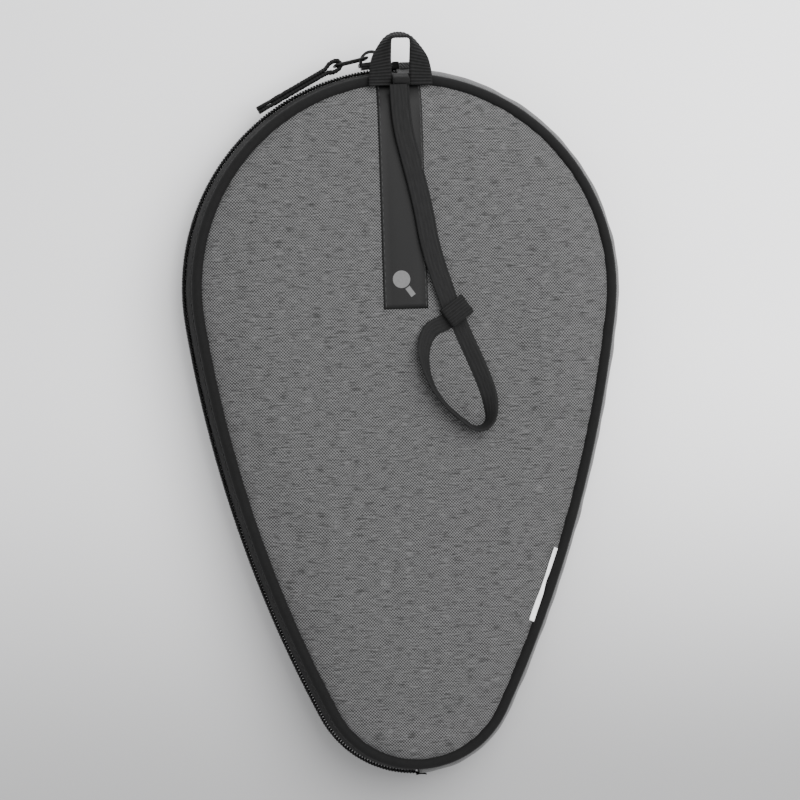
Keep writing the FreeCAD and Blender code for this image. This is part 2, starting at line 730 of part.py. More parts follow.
def build_label():
    """Narrow folded label caught in the seam beside the right-hand piping."""
    label = doc.addObject("Part::Box", "side_label")
    label.Label = "side_label"
    label.setExpression("Length", "Dims.label_width")
    label.setExpression("Width", "Dims.label_length")
    label.setExpression("Height", "Dims.label_thickness")
    turn = Rotation(UP, DIMENSIONS["label_turn"])
    inset = PANEL_INSET.value + DIMENSIONS["label_width"] - DIMENSIONS["label_overlap"]
    outward = turn.multVec(Vector(1, 0, 0))
    seam = SIDE_CENTRE + outward * (DIMENSIONS["side_radius"] - inset)
    start = seam - turn.multVec(Vector(0, DIMENSIONS["label_length"] / 2, 0))
    height = DIMENSIONS["crown_edge_z"] + DIMENSIONS["label_lift"]
    label.Placement = Placement(start + Vector(0, 0, height), turn)
    subparts["side_label"] = label


# ---------------------------------------------------------------- wrist strap

def route_bends(points):
    """Corner points of a route with the radius and the trimmed length of each bend."""
    bends = []
    for before, corner, after in zip(points, points[1:], points[2:]):
        inward, outward = corner - before, after - corner
        turn = inward.getAngle(outward)
        shorter = min(inward.Length, outward.Length)
        trim = BEND_SHARE * shorter
        bends.append((corner, trim / math.tan(turn / 2), trim))
    return bends


def add_route(sketch, route):
    """Straight runs joined by tangent arcs, through a list of points."""
    points = [Vector(x, y, 0) for x, y in route]
    bends = route_bends(points)
    start = points[0]
    for index, (corner, radius, trim) in enumerate(bends):
        following = points[index + 2]
        entry = corner + (start - corner).normalize() * trim
        leave = corner + (following - corner).normalize() * trim
        bisector = (entry - corner) + (leave - corner)
        depth = radius - math.sqrt(radius ** 2 + trim ** 2)
        mid = corner - bisector.normalize() * depth
        sketch.addGeometry(Part.LineSegment(start, entry))
        sketch.addGeometry(Part.Arc(entry, mid, leave))
        start = leave
    sketch.addGeometry(Part.LineSegment(start, points[-1]))
    sketch.addConstraint([Sketcher.Constraint("Block", index) for index in range(sketch.GeometryCount)])
    return [round(radius, 1) for corner, radius, trim in bends]


def strap_piece(name, route, width, low, height):
    """A flat ribbon along a route: width lies across the route, height along Z."""
    body = new_body(name)
    path = new_sketch(body, f"{name}_path")
    radii = add_route(path, route)
    start, second = (Vector(x, y, 0) for x, y in route[:2])
    heading = math.degrees(math.atan2(second.y - start.y, second.x - start.x))
    section = body.newObject("Sketcher::SketchObject", f"{name}_section")
    plane = [item for item in body.Origin.OriginFeatures if item.Role == "YZ_Plane"][0]
    section.AttachmentSupport = [(plane, "")]
    section.MapMode = "FlatFace"
    turn = Rotation(Vector(0, 1, 0), heading)
    section.AttachmentOffset = Placement(Vector(start.y, 0, start.x), turn)
    half = width * 0.5
    add_polygon(section, [(half * -1, low), (half, low), (half, low + height), (half * -1, low + height)])
    pipe(body, section, path)
    doc.recompute()
    length = path.Shape.Length
    print(f"{name}: radii {radii}, length {length:.1f}, volume {body.Shape.Volume:.1f}, "
          f"section x length {width.value * height.value * length:.1f}")


def build_strap():
    width, thickness = dim("strap_width"), dim("strap_thickness")
    low = dim("strap_z")
    high = low + thickness + dim("strap_layer_gap")
    strap_piece("wrist_strap_under", STRAP_RUN, width, low, thickness)
    strap_piece("wrist_strap_over", STRAP_RUN, width, high, thickness)
    strap_piece("wrist_strap_loop", STRAP_LOOP, thickness, low, width)
    build_anchor(high + thickness)
    build_keeper(high + thickness)


def build_anchor(top):
    """Block of sewn layers at the seam, between the legs of the hanging loop."""
    body = new_body("strap_anchor")
    sketch = new_sketch(body, "anchor_side", "YZ_Plane", dim("loop_centre_x"))
    inner = dim("loop_base_y")
    low = dim("case_depth") + dim("seat_gap")
    outer = inner + dim("anchor_length")
    add_polygon(sketch, [(inner, low), (outer, low), (outer, dim("strap_z")), (inner, top)])
    pad(body, sketch, dim("anchor_width"), symmetric=True)


def build_keeper(top):
    """Webbing sleeve that slides along the two layers of the strap."""
    body = new_body("strap_keeper")
    start, end = (Vector(x, y, 0) for x, y in STRAP_RUN[-2:])
    direction = (end - start).normalize()
    clearance, wall = dim("keeper_clearance"), dim("keeper_wall")
    half_outer = dim("keeper_width") * 0.5
    half_inner = half_outer - dim("keeper_side_wall")
    inner_low, inner_high = dim("strap_z") - clearance, top + clearance
    section = new_sketch(body, "keeper_section", "YZ_Plane")
    for name, half, low, high in (("outer", half_outer, inner_low - wall, inner_high + wall),
                                  ("inner", half_inner, inner_low, inner_high)):
        add_polygon(section, [(half * -1, low), (half, low), (half, high), (half * -1, high)], name)
    pad(body, section, dim("keeper_length"))
    seat = end - direction * (DIMENSIONS["keeper_length"] - DIMENSIONS["keeper_overhang"])
    heading = math.degrees(math.atan2(direction.y, direction.x))
    body.Placement = Placement(seat, Rotation(UP, heading))


# ---------------------------------------------------------------- build, check, write

def check_document():
    """Stops when any object failed, or any sub-part has no sound shape."""
    doc.recompute()
    for item in doc.Objects:
        if "Invalid" in item.State or "Error" in item.State:
            raise RuntimeError(f"{item.Label} failed: {item.State}")
    for name, item in subparts.items():
        if item.Shape.isNull() or not item.Shape.isValid() or not item.Shape.Solids:
            raise RuntimeError(f"{name} has no sound shape")


def write_files():
    os.makedirs("parts", exist_ok=True)
    for name, item in subparts.items():
        item.Shape.exportStep(f"parts/{name}.step")


build_panels()
build_edges()
build_gusset()
build_zipper()
build_zipper_stops()
build_slider()
build_tab(build_link())
build_hanging_loop()
build_band()
build_mark()
build_label()
build_strap()
check_document()
write_files()
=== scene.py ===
"""Looks of the paddle case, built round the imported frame.

The case lies on its back: +Z points out of its front, +Y towards the hanging loop,
+X to the right as seen from the front. Lengths are metres, given as millimetres * MM.
"""

import json
import math

import bmesh
import bpy
import numpy as np
from mathutils import Matrix, Vector, noise
from mathutils.bvhtree import BVHTree
from mathutils.geometry import delaunay_2d_cdt


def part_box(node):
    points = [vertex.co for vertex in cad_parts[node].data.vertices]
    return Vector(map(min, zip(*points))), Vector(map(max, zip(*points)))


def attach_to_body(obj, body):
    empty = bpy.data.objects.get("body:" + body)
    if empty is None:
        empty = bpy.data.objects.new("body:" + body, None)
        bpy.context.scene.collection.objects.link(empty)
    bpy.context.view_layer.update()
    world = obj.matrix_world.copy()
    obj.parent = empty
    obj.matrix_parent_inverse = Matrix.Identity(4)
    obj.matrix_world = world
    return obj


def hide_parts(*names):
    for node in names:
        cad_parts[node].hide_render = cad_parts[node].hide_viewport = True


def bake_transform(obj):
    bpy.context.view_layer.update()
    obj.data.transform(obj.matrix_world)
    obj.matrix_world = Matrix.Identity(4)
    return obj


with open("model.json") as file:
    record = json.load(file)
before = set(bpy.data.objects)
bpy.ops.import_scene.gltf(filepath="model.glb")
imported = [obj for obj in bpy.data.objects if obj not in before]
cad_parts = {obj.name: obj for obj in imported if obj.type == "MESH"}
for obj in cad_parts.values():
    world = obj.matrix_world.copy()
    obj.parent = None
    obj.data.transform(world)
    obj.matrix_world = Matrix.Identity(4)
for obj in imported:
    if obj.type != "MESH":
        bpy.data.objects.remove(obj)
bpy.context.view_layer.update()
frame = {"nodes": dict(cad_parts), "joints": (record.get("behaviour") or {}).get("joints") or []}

MM = 0.001
TAU = 2 * math.pi

# ---------------- sizes

GUSSET_LOW, GUSSET_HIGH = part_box("gusset_outer")
HEAD_RADIUS = GUSSET_HIGH.x
HEAD_Y = GUSSET_HIGH.y - HEAD_RADIUS
TIP_RADIUS = 44.6 * MM
SIDE_RADIUS = 535.6 * MM
TIP_Y = GUSSET_LOW.y + TIP_RADIUS

CASE_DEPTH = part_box("front_piping")[1].z
MIDDLE_Z = CASE_DEPTH / 2
PIPING_RADIUS = 2.3 * MM
PIPING_INSET = 5.6 * MM
PIPING_CORD_RADIUS = 1.5 * MM
FABRIC, FOAM, LINING = 0.7 * MM, 2.1 * MM, 0.4 * MM
LAYER_GAP = 0.05 * MM
PANEL_EDGE_INSET = 6.8 * MM
CROWN_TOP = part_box("front_panel_outer")[1].z

# ---------------- camera

CAMERA_TARGET = Vector((-2.3, 1.65, 15.0)) * MM
CAMERA_DISTANCE = 1200 * MM
CAMERA_YAW = math.radians(7.0)
CAMERA_PITCH = math.radians(0.9)
CAMERA_ROLL = math.radians(1.868)
CAMERA_LENS = 129.3


def make_camera():
    """Looks down on the front, from a little to the left, with the case turned slightly."""
    data = bpy.data.cameras.new("camera")
    data.lens = CAMERA_LENS
    data.sensor_width = 36
    camera = bpy.data.objects.new("camera", data)
    bpy.context.scene.collection.objects.link(camera)
    back = Vector((-math.sin(CAMERA_YAW), math.sin(CAMERA_PITCH), math.cos(CAMERA_YAW))).normalized()
    right = Vector((math.cos(CAMERA_ROLL), -math.sin(CAMERA_ROLL), 0))
    right = (right - back * right.dot(back)).normalized()
    up = back.cross(right)
    place = CAMERA_TARGET + CAMERA_DISTANCE * back
    camera.matrix_world = Matrix([(right[i], up[i], back[i], place[i]) for i in range(3)] + [(0, 0, 0, 1)])
    bpy.context.scene.camera = camera


# ---------------- the egg outline

class Outline:
    """The plan: tangent arcs round the head, the sides and the tip.

    s is the distance along the outermost line from the top of the head: positive down the
    left side, negative down the right one. An inset is measured inwards from that line.
    """

    def __init__(self):
        gap = HEAD_Y - TIP_Y
        head, tip = SIDE_RADIUS - HEAD_RADIUS, SIDE_RADIUS - TIP_RADIUS
        drop = (head ** 2 - tip ** 2 + gap ** 2) / (2 * gap)
        self.reach = math.sqrt(head ** 2 - drop ** 2)
        self.side_y = HEAD_Y - drop
        self.side_top = math.atan2(drop, self.reach)
        self.side_bottom = math.atan2(drop - gap, self.reach)
        self.head_length = HEAD_RADIUS * (math.pi / 2 - self.side_top)
        self.side_length = SIDE_RADIUS * (self.side_top - self.side_bottom)
        self.half = self.head_length + self.side_length + TIP_RADIUS * (math.pi / 2 + self.side_bottom)

    def place(self, s, inset):
        """Points at distances s and an inset, as x and y."""
        along = np.abs(s)
        on_head = along < self.head_length
        on_side = ~on_head & (along < self.head_length + self.side_length)
        angle = np.where(on_head, math.pi / 2 - along / HEAD_RADIUS,
                         np.where(on_side, self.side_top - (along - self.head_length) / SIDE_RADIUS,
                                  self.side_bottom
                                  - (along - self.head_length - self.side_length) / TIP_RADIUS))
        radius = np.where(on_head, HEAD_RADIUS, np.where(on_side, SIDE_RADIUS, TIP_RADIUS)) - inset
        x = np.where(on_side, -self.reach, 0) + radius * np.cos(angle)
        y = np.where(on_head, HEAD_Y, np.where(on_side, self.side_y, TIP_Y)) + radius * np.sin(angle)
        return np.where(s > 0, -x, x), y

    def locate(self, x, y):
        """The s and the inset of points."""
        across = np.abs(x)
        angle = np.arctan2(y - self.side_y, across + self.reach)
        on_head, on_tip = angle > self.side_top, angle < self.side_bottom
        head_angle = np.arctan2(y - HEAD_Y, across)
        tip_angle = np.arctan2(y - TIP_Y, across)
        s = np.where(on_head, (math.pi / 2 - head_angle) * HEAD_RADIUS,
                     np.where(on_tip, self.head_length + self.side_length
                              + (self.side_bottom - tip_angle) * TIP_RADIUS,
                              self.head_length + (self.side_top - angle) * SIDE_RADIUS))
        inset = np.where(on_head, HEAD_RADIUS - np.hypot(across, y - HEAD_Y),
                         np.where(on_tip, TIP_RADIUS - np.hypot(across, y - TIP_Y),
                                  SIDE_RADIUS - np.hypot(across + self.reach, y - self.side_y)))
        return np.where(x < 0, s, -s), inset


outline = Outline()


# ---------------- mesh helpers

def add_object(name, vertices, faces, corner_uv=None):
    """A smooth-shaded mesh object. Its UV map, in metres, carries the weave."""
    mesh = bpy.data.meshes.new(name)
    mesh.from_pydata(np.asarray(vertices).tolist(), [], faces)
    if corner_uv is not None:
        mesh.uv_layers.new(name="weave").data.foreach_set("uv", np.asarray(corner_uv, np.float32).ravel())
    mesh.polygons.foreach_set("use_smooth", [True] * len(mesh.polygons))
    piece = bpy.data.objects.new(name, mesh)
    bpy.context.scene.collection.objects.link(piece)
    return piece


def outward_normals(piece):
    """Turns every face of a closed mesh outwards."""
    work = bmesh.new()
    work.from_mesh(piece.data)
    bmesh.ops.recalc_face_normals(work, faces=work.faces)
    work.to_mesh(piece.data)
    work.free()


def object_from(work, name):
    """Makes a bmesh into an object, and frees the bmesh."""
    mesh = bpy.data.meshes.new(name)
    work.to_mesh(mesh)
    work.free()
    piece = bpy.data.objects.new(name, mesh)
    bpy.context.scene.collection.objects.link(piece)
    return piece


def normalised(vectors):
    return vectors / np.linalg.norm(vectors, axis=1)[:, None]


def turned(centre, x, y, turn):
    """A plan point, given from a centre and turned about it."""
    return (centre.x + x * math.cos(turn) - y * math.sin(turn),
            centre.y + x * math.sin(turn) + y * math.cos(turn))


def running_length(points, closed):
    """Distances along a row of points, with the closing step added if it is closed."""
    following = np.roll(points, -1, axis=0)
    steps = np.linalg.norm(following - points, axis=1)
    if not closed:
        steps = steps[:-1]
    return np.concatenate(([0], np.cumsum(steps)))


def loft(name, points, closed_path=False, closed_section=True, u=None):
    """A skin over an array of sections: points[station, place in section]. Open ends are capped."""
    stations, places = points.shape[:2]
    u = running_length(points[:, 0], closed_path) if u is None else u
    v = running_length(points[0], closed_section)
    row = np.arange(stations if closed_path else stations - 1)
    column = np.arange(places if closed_section else places - 1)
    i, j = (grid.ravel() for grid in np.meshgrid(row, column, indexing="ij"))
    i_next, j_next = (i + 1) % stations, (j + 1) % places
    faces = np.stack([i * places + j, i_next * places + j, i_next * places + j_next,
                      i * places + j_next], 1).tolist()
    corner_uv = np.stack([np.stack([u[i], v[j]], 1), np.stack([u[i + 1], v[j]], 1),
                          np.stack([u[i + 1], v[j + 1]], 1), np.stack([u[i], v[j + 1]], 1)], 1)
    corner_uv = corner_uv.reshape(-1, 2)
    if closed_section and not closed_path:
        last = (stations - 1) * places
        faces += [list(range(places)), list(range(last, last + places))]
        cap = points[0] - points[0, 0]
        flat = np.stack([np.linalg.norm(cap, axis=1), cap[:, 2]], 1)
        corner_uv = np.concatenate([corner_uv, flat, flat])
    piece = add_object(name, points.reshape(-1, 3), faces, corner_uv)
    outward_normals(piece)
    return piece


def sweep(name, s, section, wave=None, closed=False, u=None):
    """A section of (inset, z) points swept along the outline.

    wave, if given, is a function of s and a section point's share (0 to 1) that returns how
    far the surface moves outwards there.
    """
    inset = np.broadcast_to(section[:, 0], (len(s), len(section)))
    if wave:
        share = (section[:, 1] - section[:, 1].min()) / np.ptp(section[:, 1])
        inset = inset - wave(s[:, None], share[None, :])
    x, y = outline.place(np.broadcast_to(s[:, None], inset.shape), inset)
    z = np.broadcast_to(section[:, 1], inset.shape)
    return loft(name, np.stack([x, y, z], 2), closed_path=closed, u=s if u is None else u)


def circle_section(inset, z, radius, count):
    angle = np.arange(count) * TAU / count
    return np.stack([inset + radius * np.cos(angle), z + radius * np.sin(angle)], 1)


def bow_section(depth, bow_radius, thickness, low, high, count=14):
    """Closed section of a bowed side layer, its outer face at a depth under the outermost line."""
    reach = [math.asin((z - MIDDLE_Z) / bow_radius) for z in (low, high)]
    angle = np.linspace(*reach, count)
    outer = np.stack([depth + bow_radius * (1 - np.cos(angle)), MIDDLE_Z + bow_radius * np.sin(angle)], 1)
    inner_radius = bow_radius - thickness
    inner = np.stack([depth + bow_radius - inner_radius * np.cos(angle),
                      MIDDLE_Z + inner_radius * np.sin(angle)], 1)
    return np.concatenate([outer, inner[::-1]])


def full_turn(step):
    """Distances s all the way round, about a step apart."""
    count = int(round(2 * outline.half / step))
    s = np.arange(count) * 2 * outline.half / count
    return np.where(s > outline.half, s - 2 * outline.half, s)


def sweep_round(name, section, wave=None):
    """A section swept all the way round."""
    step = 1.4 * MM
    s = full_turn(step)
    return sweep(name, s, section, wave, closed=True, u=np.arange(len(s) + 1) * step)


def ripple(s, wavelength, seed):
    """Smooth, uneven waves along s, from -1 to 1."""
    total = np.zeros(np.shape(s))
    rng = np.random.default_rng(seed)
    for stretch in (0.7, 1.0, 1.37, 2.1):
        total = total + np.sin(TAU * s / (wavelength * stretch) + rng.uniform(0, TAU))
    return total / 4


# ---------------- materials

class Graph:
    """A material with a Principled shader, and short names for adding nodes to it."""

    def __init__(self, name, **shader_values):
        self.material = bpy.data.materials.new(name)
        self.material.use_nodes = True
        self.tree = self.material.node_tree
        self.shader = self.tree.nodes["Principled BSDF"]
        for socket, value in shader_values.items():
            self.shader.inputs[socket.replace("_", " ")].default_value = value

    def node(self, kind, inputs, **settings):
        made = self.tree.nodes.new(kind)
        for key, value in settings.items():
            setattr(made, key, value)
        for key, value in inputs.items():
            if isinstance(value, bpy.types.NodeSocket):
                self.tree.links.new(value, made.inputs[key])
            else:
                made.inputs[key].default_value = value
        return made

    def math(self, operation, a, b=0.0, c=0.0):
        return self.node("ShaderNodeMath", {0: a, 1: b, 2: c}, operation=operation).outputs[0]

    def weave_uv(self):
        uv = self.node("ShaderNodeUVMap", {}, uv_map="weave").outputs[0]
        parts = self.node("ShaderNodeSeparateXYZ", {0: uv}).outputs
        return parts[0], parts[1]

    def object_xyz(self):
        return self.node("ShaderNodeTexCoord", {}).outputs["Object"]

    def noise(self, vector, scale=1.0, detail=2.0, roughness=0.5):
        return self.node("ShaderNodeTexNoise", {"Vector": vector, "Scale": scale, "Detail": detail,
                                                "Roughness": roughness}).outputs["Fac"]

    def cloth_noise(self, x, y, per_x, per_y, **settings):
        """Noise whose grains are about per_x by per_y large."""
        vector = self.node("ShaderNodeCombineXYZ", {0: self.math("DIVIDE", x, per_x),
                                                    1: self.math("DIVIDE", y, per_y)}).outputs[0]
        return self.noise(vector, **settings)

    def scale_add(self, value, factor, added):
        return self.math("MULTIPLY_ADD", value, factor, added)

    def clamp(self, value, low, high):
        return self.math("MINIMUM", self.math("MAXIMUM", value, low), high)

    def wave(self, value, period):
        """Sine of a length, from -1 to 1."""
        return self.math("SINE", self.math("MULTIPLY", value, TAU / period))

    def colour(self, factor, dark, light):
        mix = self.node("ShaderNodeMix", {"Factor": factor}, data_type="RGBA")
        mix.inputs["A"].default_value = (*dark, 1)
        mix.inputs["B"].default_value = (*light, 1)
        self.tree.links.new(mix.outputs["Result"], self.shader.inputs["Base Color"])

    def bump(self, height, distance, strength=1.0):
        node = self.node("ShaderNodeBump", {"Height": height, "Distance": distance, "Strength": strength})
        self.tree.links.new(node.outputs[0], self.shader.inputs["Normal"])

    def link(self, value, socket):
        self.tree.links.new(value, self.shader.inputs[socket])


RIB_PITCH = 1.3 * MM


def grey(value):
    return (value, value, value * 1.01)


def melange_material():
    """Plain weave of mixed light and dark yarns, with streaks along the rows."""
    graph = Graph("melange_fabric", Roughness=0.85, Sheen_Weight=0.15, Sheen_Roughness=0.5)
    x, y = graph.weave_uv()
    wander = graph.cloth_noise(x, y, 9 * MM, 9 * MM, detail=1.0)
    x_bent = graph.scale_add(wander, 0.7 * MM, x)
    y_bent = graph.scale_add(wander, 0.9 * MM, y)
    dots = graph.math("MULTIPLY", graph.wave(x_bent, 1.20 * MM), graph.wave(y_bent, 1.25 * MM))
    cluster = graph.cloth_noise(x, y, 4.5 * MM, 3.0 * MM, detail=1.0)
    strength = graph.scale_add(cluster, 14.0, -5.4)
    strength = graph.clamp(strength, 0.4, 5.0)
    rows = graph.cloth_noise(x_bent, y_bent, 5.0 * MM, 0.7 * MM, detail=2.0)
    columns = graph.cloth_noise(x_bent, y_bent, 0.8 * MM, 3.0 * MM, detail=1.0)
    tone = graph.scale_add(dots, strength, 0.42)
    tone = graph.scale_add(graph.math("SUBTRACT", rows, 0.5), 1.9, tone)
    tone = graph.scale_add(graph.math("SUBTRACT", columns, 0.5), 0.4, tone)
    tone = graph.clamp(tone, 0.0, 1.0)
    graph.colour(tone, grey(0.001), grey(0.090))
    graph.bump(graph.scale_add(rows, 0.8, dots), 0.06 * MM, 0.7)
    return graph.material


def cloth_material(name, dark, light, period, rough=0.85, sheen=0.03, depth=0.05 * MM):
    """Fine dark cloth or tape."""
    graph = Graph(name, Roughness=rough, Sheen_Weight=sheen, Specular_IOR_Level=0.14)
    x, y = graph.weave_uv()
    weave = graph.math("MULTIPLY", graph.wave(x, period), graph.wave(y, period))
    fibre = graph.cloth_noise(x, y, 2.5 * MM, 2.5 * MM, detail=6.0, roughness=0.7)
    graph.colour(graph.scale_add(weave, 0.2, fibre), grey(dark), grey(light))
    graph.bump(graph.scale_add(fibre, 0.6, weave), depth, 0.6)
    return graph.material


def webbing_material():
    """Webbing: ribs across its length with fine yarns over them."""
    graph = Graph("black_webbing", Roughness=0.8, Specular_IOR_Level=0.14)
    length, width = graph.weave_uv()
    rib = graph.wave(length, RIB_PITCH)
    yarn = graph.wave(width, 0.55 * MM)
    fibre = graph.cloth_noise(length, width, 1.6 * MM, 1.6 * MM, detail=5.0, roughness=0.7)
    tone = graph.scale_add(rib, 0.25, graph.scale_add(yarn, 0.12, fibre))
    graph.colour(tone, grey(0.002), grey(0.011))
    graph.bump(graph.scale_add(yarn, 0.3, rib), 0.10 * MM, 0.7)
    return graph.material


def tape_material():
    """Soft tape with lengthwise grooves, fuzzy across them."""
    graph = Graph("strap_tape", Roughness=0.85, Specular_IOR_Level=0.14)
    length, width = graph.weave_uv()
    fibre = graph.cloth_noise(length, width, 5.0 * MM, 0.8 * MM, detail=4.0, roughness=0.6)
    fuzz = graph.cloth_noise(length, width, 0.6 * MM, 0.6 * MM, detail=3.0)
    groove = graph.wave(width, 1.7 * MM)
    tone = graph.scale_add(groove, 0.08, graph.scale_add(fuzz, 0.4, fibre))
    graph.colour(tone, grey(0.002), grey(0.012))
    graph.bump(graph.scale_add(groove, 0.3, fibre), 0.12 * MM, 0.6)
    return graph.material


def band_material():
    """Smooth coated band with a soft sheen and faint grain."""
    graph = Graph("smooth_band", Specular_IOR_Level=0.12)
    spot = graph.object_xyz()
    grain = graph.noise(spot, scale=1400.0, detail=3.0)
    cloud = graph.noise(spot, scale=70.0, detail=2.0)
    graph.colour(cloud, grey(0.003), grey(0.007))
    graph.link(graph.scale_add(cloud, 0.16, 0.36), "Roughness")
    graph.bump(grain, 0.03 * MM, 0.5)
    return graph.material


def metal_material():
    """Black painted zinc with a little wear."""
    graph = Graph("zip_metal", Specular_IOR_Level=0.10)
    spot = graph.object_xyz()
    wear = graph.noise(spot, scale=500.0, detail=4.0)
    graph.colour(wear, grey(0.003), grey(0.010))
    graph.link(graph.scale_add(wear, 0.25, 0.27), "Roughness")
    graph.bump(wear, 0.02 * MM, 0.4)
    return graph.material


def plastic_material(name, dark, light, rough, specular=0.5):
    graph = Graph(name, Roughness=rough, Specular_IOR_Level=specular)
    cloud = graph.noise(graph.object_xyz(), scale=900.0, detail=3.0)
    graph.colour(cloud, grey(dark), grey(light))
    graph.bump(cloud, 0.02 * MM, 0.3)
    return graph.material


def label_material():
    """White satin ribbon, left blank."""
    graph = Graph("white_label", Roughness=0.55, Sheen_Weight=0.2)
    x, y = graph.weave_uv()
    satin = graph.math("MULTIPLY", graph.wave(x, 0.5 * MM), graph.wave(y, 0.25 * MM))
    cloud = graph.cloth_noise(x, y, 3 * MM, 3 * MM, detail=2.0)
    graph.colour(graph.scale_add(satin, 0.2, cloud), grey(0.70), grey(0.92))
    graph.bump(satin, 0.03 * MM, 0.5)
    return graph.material


def floor_material():
    """Pale paper with painted light falloff: its colour darkens towards the near side and a little towards
    the left.
    """
    graph = Graph("pale_floor_painted_falloff", Roughness=0.9, Specular_IOR_Level=0.1)
    x, y = graph.node("ShaderNodeSeparateXYZ", {0: graph.object_xyz()}).outputs[:2]
    # painted shade: the colour darkens towards the near side, standing in for light that falls off
    near = graph.node("ShaderNodeMapRange", {"Value": y, "From Min": -0.18, "From Max": 0.03},
                      interpolation_type="SMOOTHSTEP").outputs[0]
    # painted shade: the colour darkens towards the left, away from the light on the right
    side = graph.node("ShaderNodeMapRange", {"Value": x, "From Min": -0.2, "From Max": 0.2,
                                             "To Min": 0.33, "To Max": 0.61}).outputs[0]
    graph.colour(graph.scale_add(near, side, 0.31), grey(0.0), grey(1.0))
    return graph.material


MATERIALS = {
    "melange_fabric": melange_material(),
    "foam": cloth_material("foam", 0.09, 0.14, 1.1 * MM, rough=0.95),
    "lining": cloth_material("lining", 0.018, 0.045, 0.8 * MM),
    "black_trim": cloth_material("black_trim", 0.002, 0.007, 0.7 * MM),
    "black_webbing": webbing_material(),
    "strap_tape": tape_material(),
    "smooth_band": band_material(),
    "mark_print": plastic_material("mark_print", 0.07, 0.11, 0.7),
    "zip_metal": metal_material(),
    "zip_coil": plastic_material("zip_coil", 0.003, 0.010, 0.40, specular=0.15),
    "white_label": label_material(),
    "cord_core": plastic_material("cord_core", 0.12, 0.18, 0.5),
    "thread": cloth_material("thread", 0.015, 0.05, 0.4 * MM),
}


def dress(piece, slot, material=None):
    """Gives a piece its material: the slot's own, unless another is named."""
    piece.data.materials.clear()
    piece.data.materials.append(MATERIALS[material or slot])
    return piece


def body_piece(body, piece, slot, *nodes, material=None):
    """A piece that moves with one body."""
    dress(piece, slot, material)
    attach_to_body(piece, body)
    if nodes:
        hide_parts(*nodes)
    return piece


def case_piece(piece, slot, *nodes, material=None):
    """A piece that stays with the case."""
    return body_piece("case", piece, slot, *nodes, material=material)


def front_piece(piece, slot, *nodes, material=None):
    """A soft piece of the front, left free of any body with its transform baked in."""
    dress(piece, slot, material)
    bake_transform(piece)
    if nodes:
        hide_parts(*nodes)
    return piece


# ---------------- wrist strap

# The route's points: x and y, and for the loop how far the ribbon is tipped up on edge, in
# degrees. The run is used twice, for the layer that goes down and the one that comes back.
RUN = [(-1.0, 131.3), (-0.9, 117.5), (2.4, 102.5), (7.3, 81.5), (9.9, 63.0), (18.4, 37.0)]
LOOP = [(15.5, 33.0, 10), (9.0, 30.8, 12), (5.3, 23.5, 32), (6.0, 14.5, 62), (9.0, 6.0, 74),
        (14.2, -1.2, 78), (21.0, -7.4, 78), (26.5, -11.6, 78), (32.8, -9.0, 70), (33.0, 0.5, 30),
        (30.3, 9.5, 16), (26.0, 20.0, 12), (22.3, 28.5, 8), (20.6, 33.4, 4)]
STRAP_WIDTH = 7.2 * MM
STRAP_THICKNESS = 1.1 * MM
STRAP_SHIFT = 0.55 * MM
STRAP_UNDER_Z = CROWN_TOP + 1.7 * MM
STRAP_OVER_Z = STRAP_UNDER_Z + 2.3 * MM
KEEPER_HEADING = math.radians(-55)


def nurbs_points(controls, resolution=14):
    """Points along a smooth open curve with these control points."""
    curve = bpy.data.curves.new("route", "CURVE")
    curve.dimensions = "3D"
    curve.resolution_u = resolution
    spline = curve.splines.new("NURBS")
    spline.points.add(len(controls) - 1)
    for point, control in zip(spline.points, controls):
        point.co = (*control, 1)
    spline.order_u = 3
    spline.use_endpoint_u = True
    holder = bpy.data.objects.new("route", curve)
    mesh = bpy.data.meshes.new_from_object(holder)
    points = np.array([vertex.co for vertex in mesh.vertices])
    bpy.data.objects.remove(holder)
    bpy.data.curves.remove(curve)
    bpy.data.meshes.remove(mesh)
    return points


def strap_controls():
    """Control points of the whole strap, and its tip angles as a second set."""
    down = [(x * MM + STRAP_SHIFT, y * MM, STRAP_UNDER_Z) for x, y in RUN]
    up = [(x * MM - STRAP_SHIFT, y * MM, STRAP_OVER_Z) for x, y in reversed(RUN)]
    around = []
    for x, y, tip in LOOP:
        rise = STRAP_WIDTH / 2 * math.sin(math.radians(tip)) + STRAP_THICKNESS
        around.append((x * MM, y * MM, CROWN_TOP + rise))
    tips = [0] * len(RUN) + [tip for x, y, tip in LOOP] + [0] * len(RUN)
    return down + around + up, [(tip, 0, 0) for tip in tips]


def path_frames(path, tips):
    """Unit vectors across the ribbon and out of its face."""
    along = normalised(np.gradient(path, axis=0))
    outward = normalised(np.cross(along, (0, 0, 1)))
    upward = np.cross(outward, along)
    tips = tips[:, None]
    across = outward * np.cos(tips) + upward * np.sin(tips)
    return across, np.cross(across, along)


def ribbon(name, path, across, face, half_width, half_thickness, relief=None, count=16):
    """A flat strip: relief(u, share) adds to its thickness at a length u and a share of its width."""
    share = np.linspace(-1, 1, count)
    rounding = np.sqrt(np.clip(1 - np.abs(share) ** 8, 0.04, 1))
    u = running_length(path, False)
    thickness = half_thickness * rounding[None, :] * np.ones((len(path), 1))
    if relief:
        thickness = thickness + relief(u[:, None], share[None, :])
    offset = across[:, None, :] * (share * half_width)[None, :, None]
    top = path[:, None, :] + offset + face[:, None, :] * thickness[..., None]
    bottom = path[:, None, :] + offset - face[:, None, :] * thickness[..., None]
    return loft(name, np.concatenate([top, bottom[:, ::-1]], 1), u=u)


def rib_relief(power):
    """Ribs across webbing. The higher the power, the nearer to its edges they reach."""
    def relief(u, share):
        return 0.10 * MM * np.sin(TAU * u / RIB_PITCH) * (1 - np.abs(share) ** power)
    return relief


def strap_relief(u, share):
    """Soft lengthwise grooves, deepest where the strap is gathered into the seam at both ends."""
    length = u.max()
    gathered = np.exp(-u / (16 * MM)) + np.exp(-(length - u) / (16 * MM))
    return (0.04 + 0.18 * gathered) * MM * np.cos(share * math.pi * 4.4)


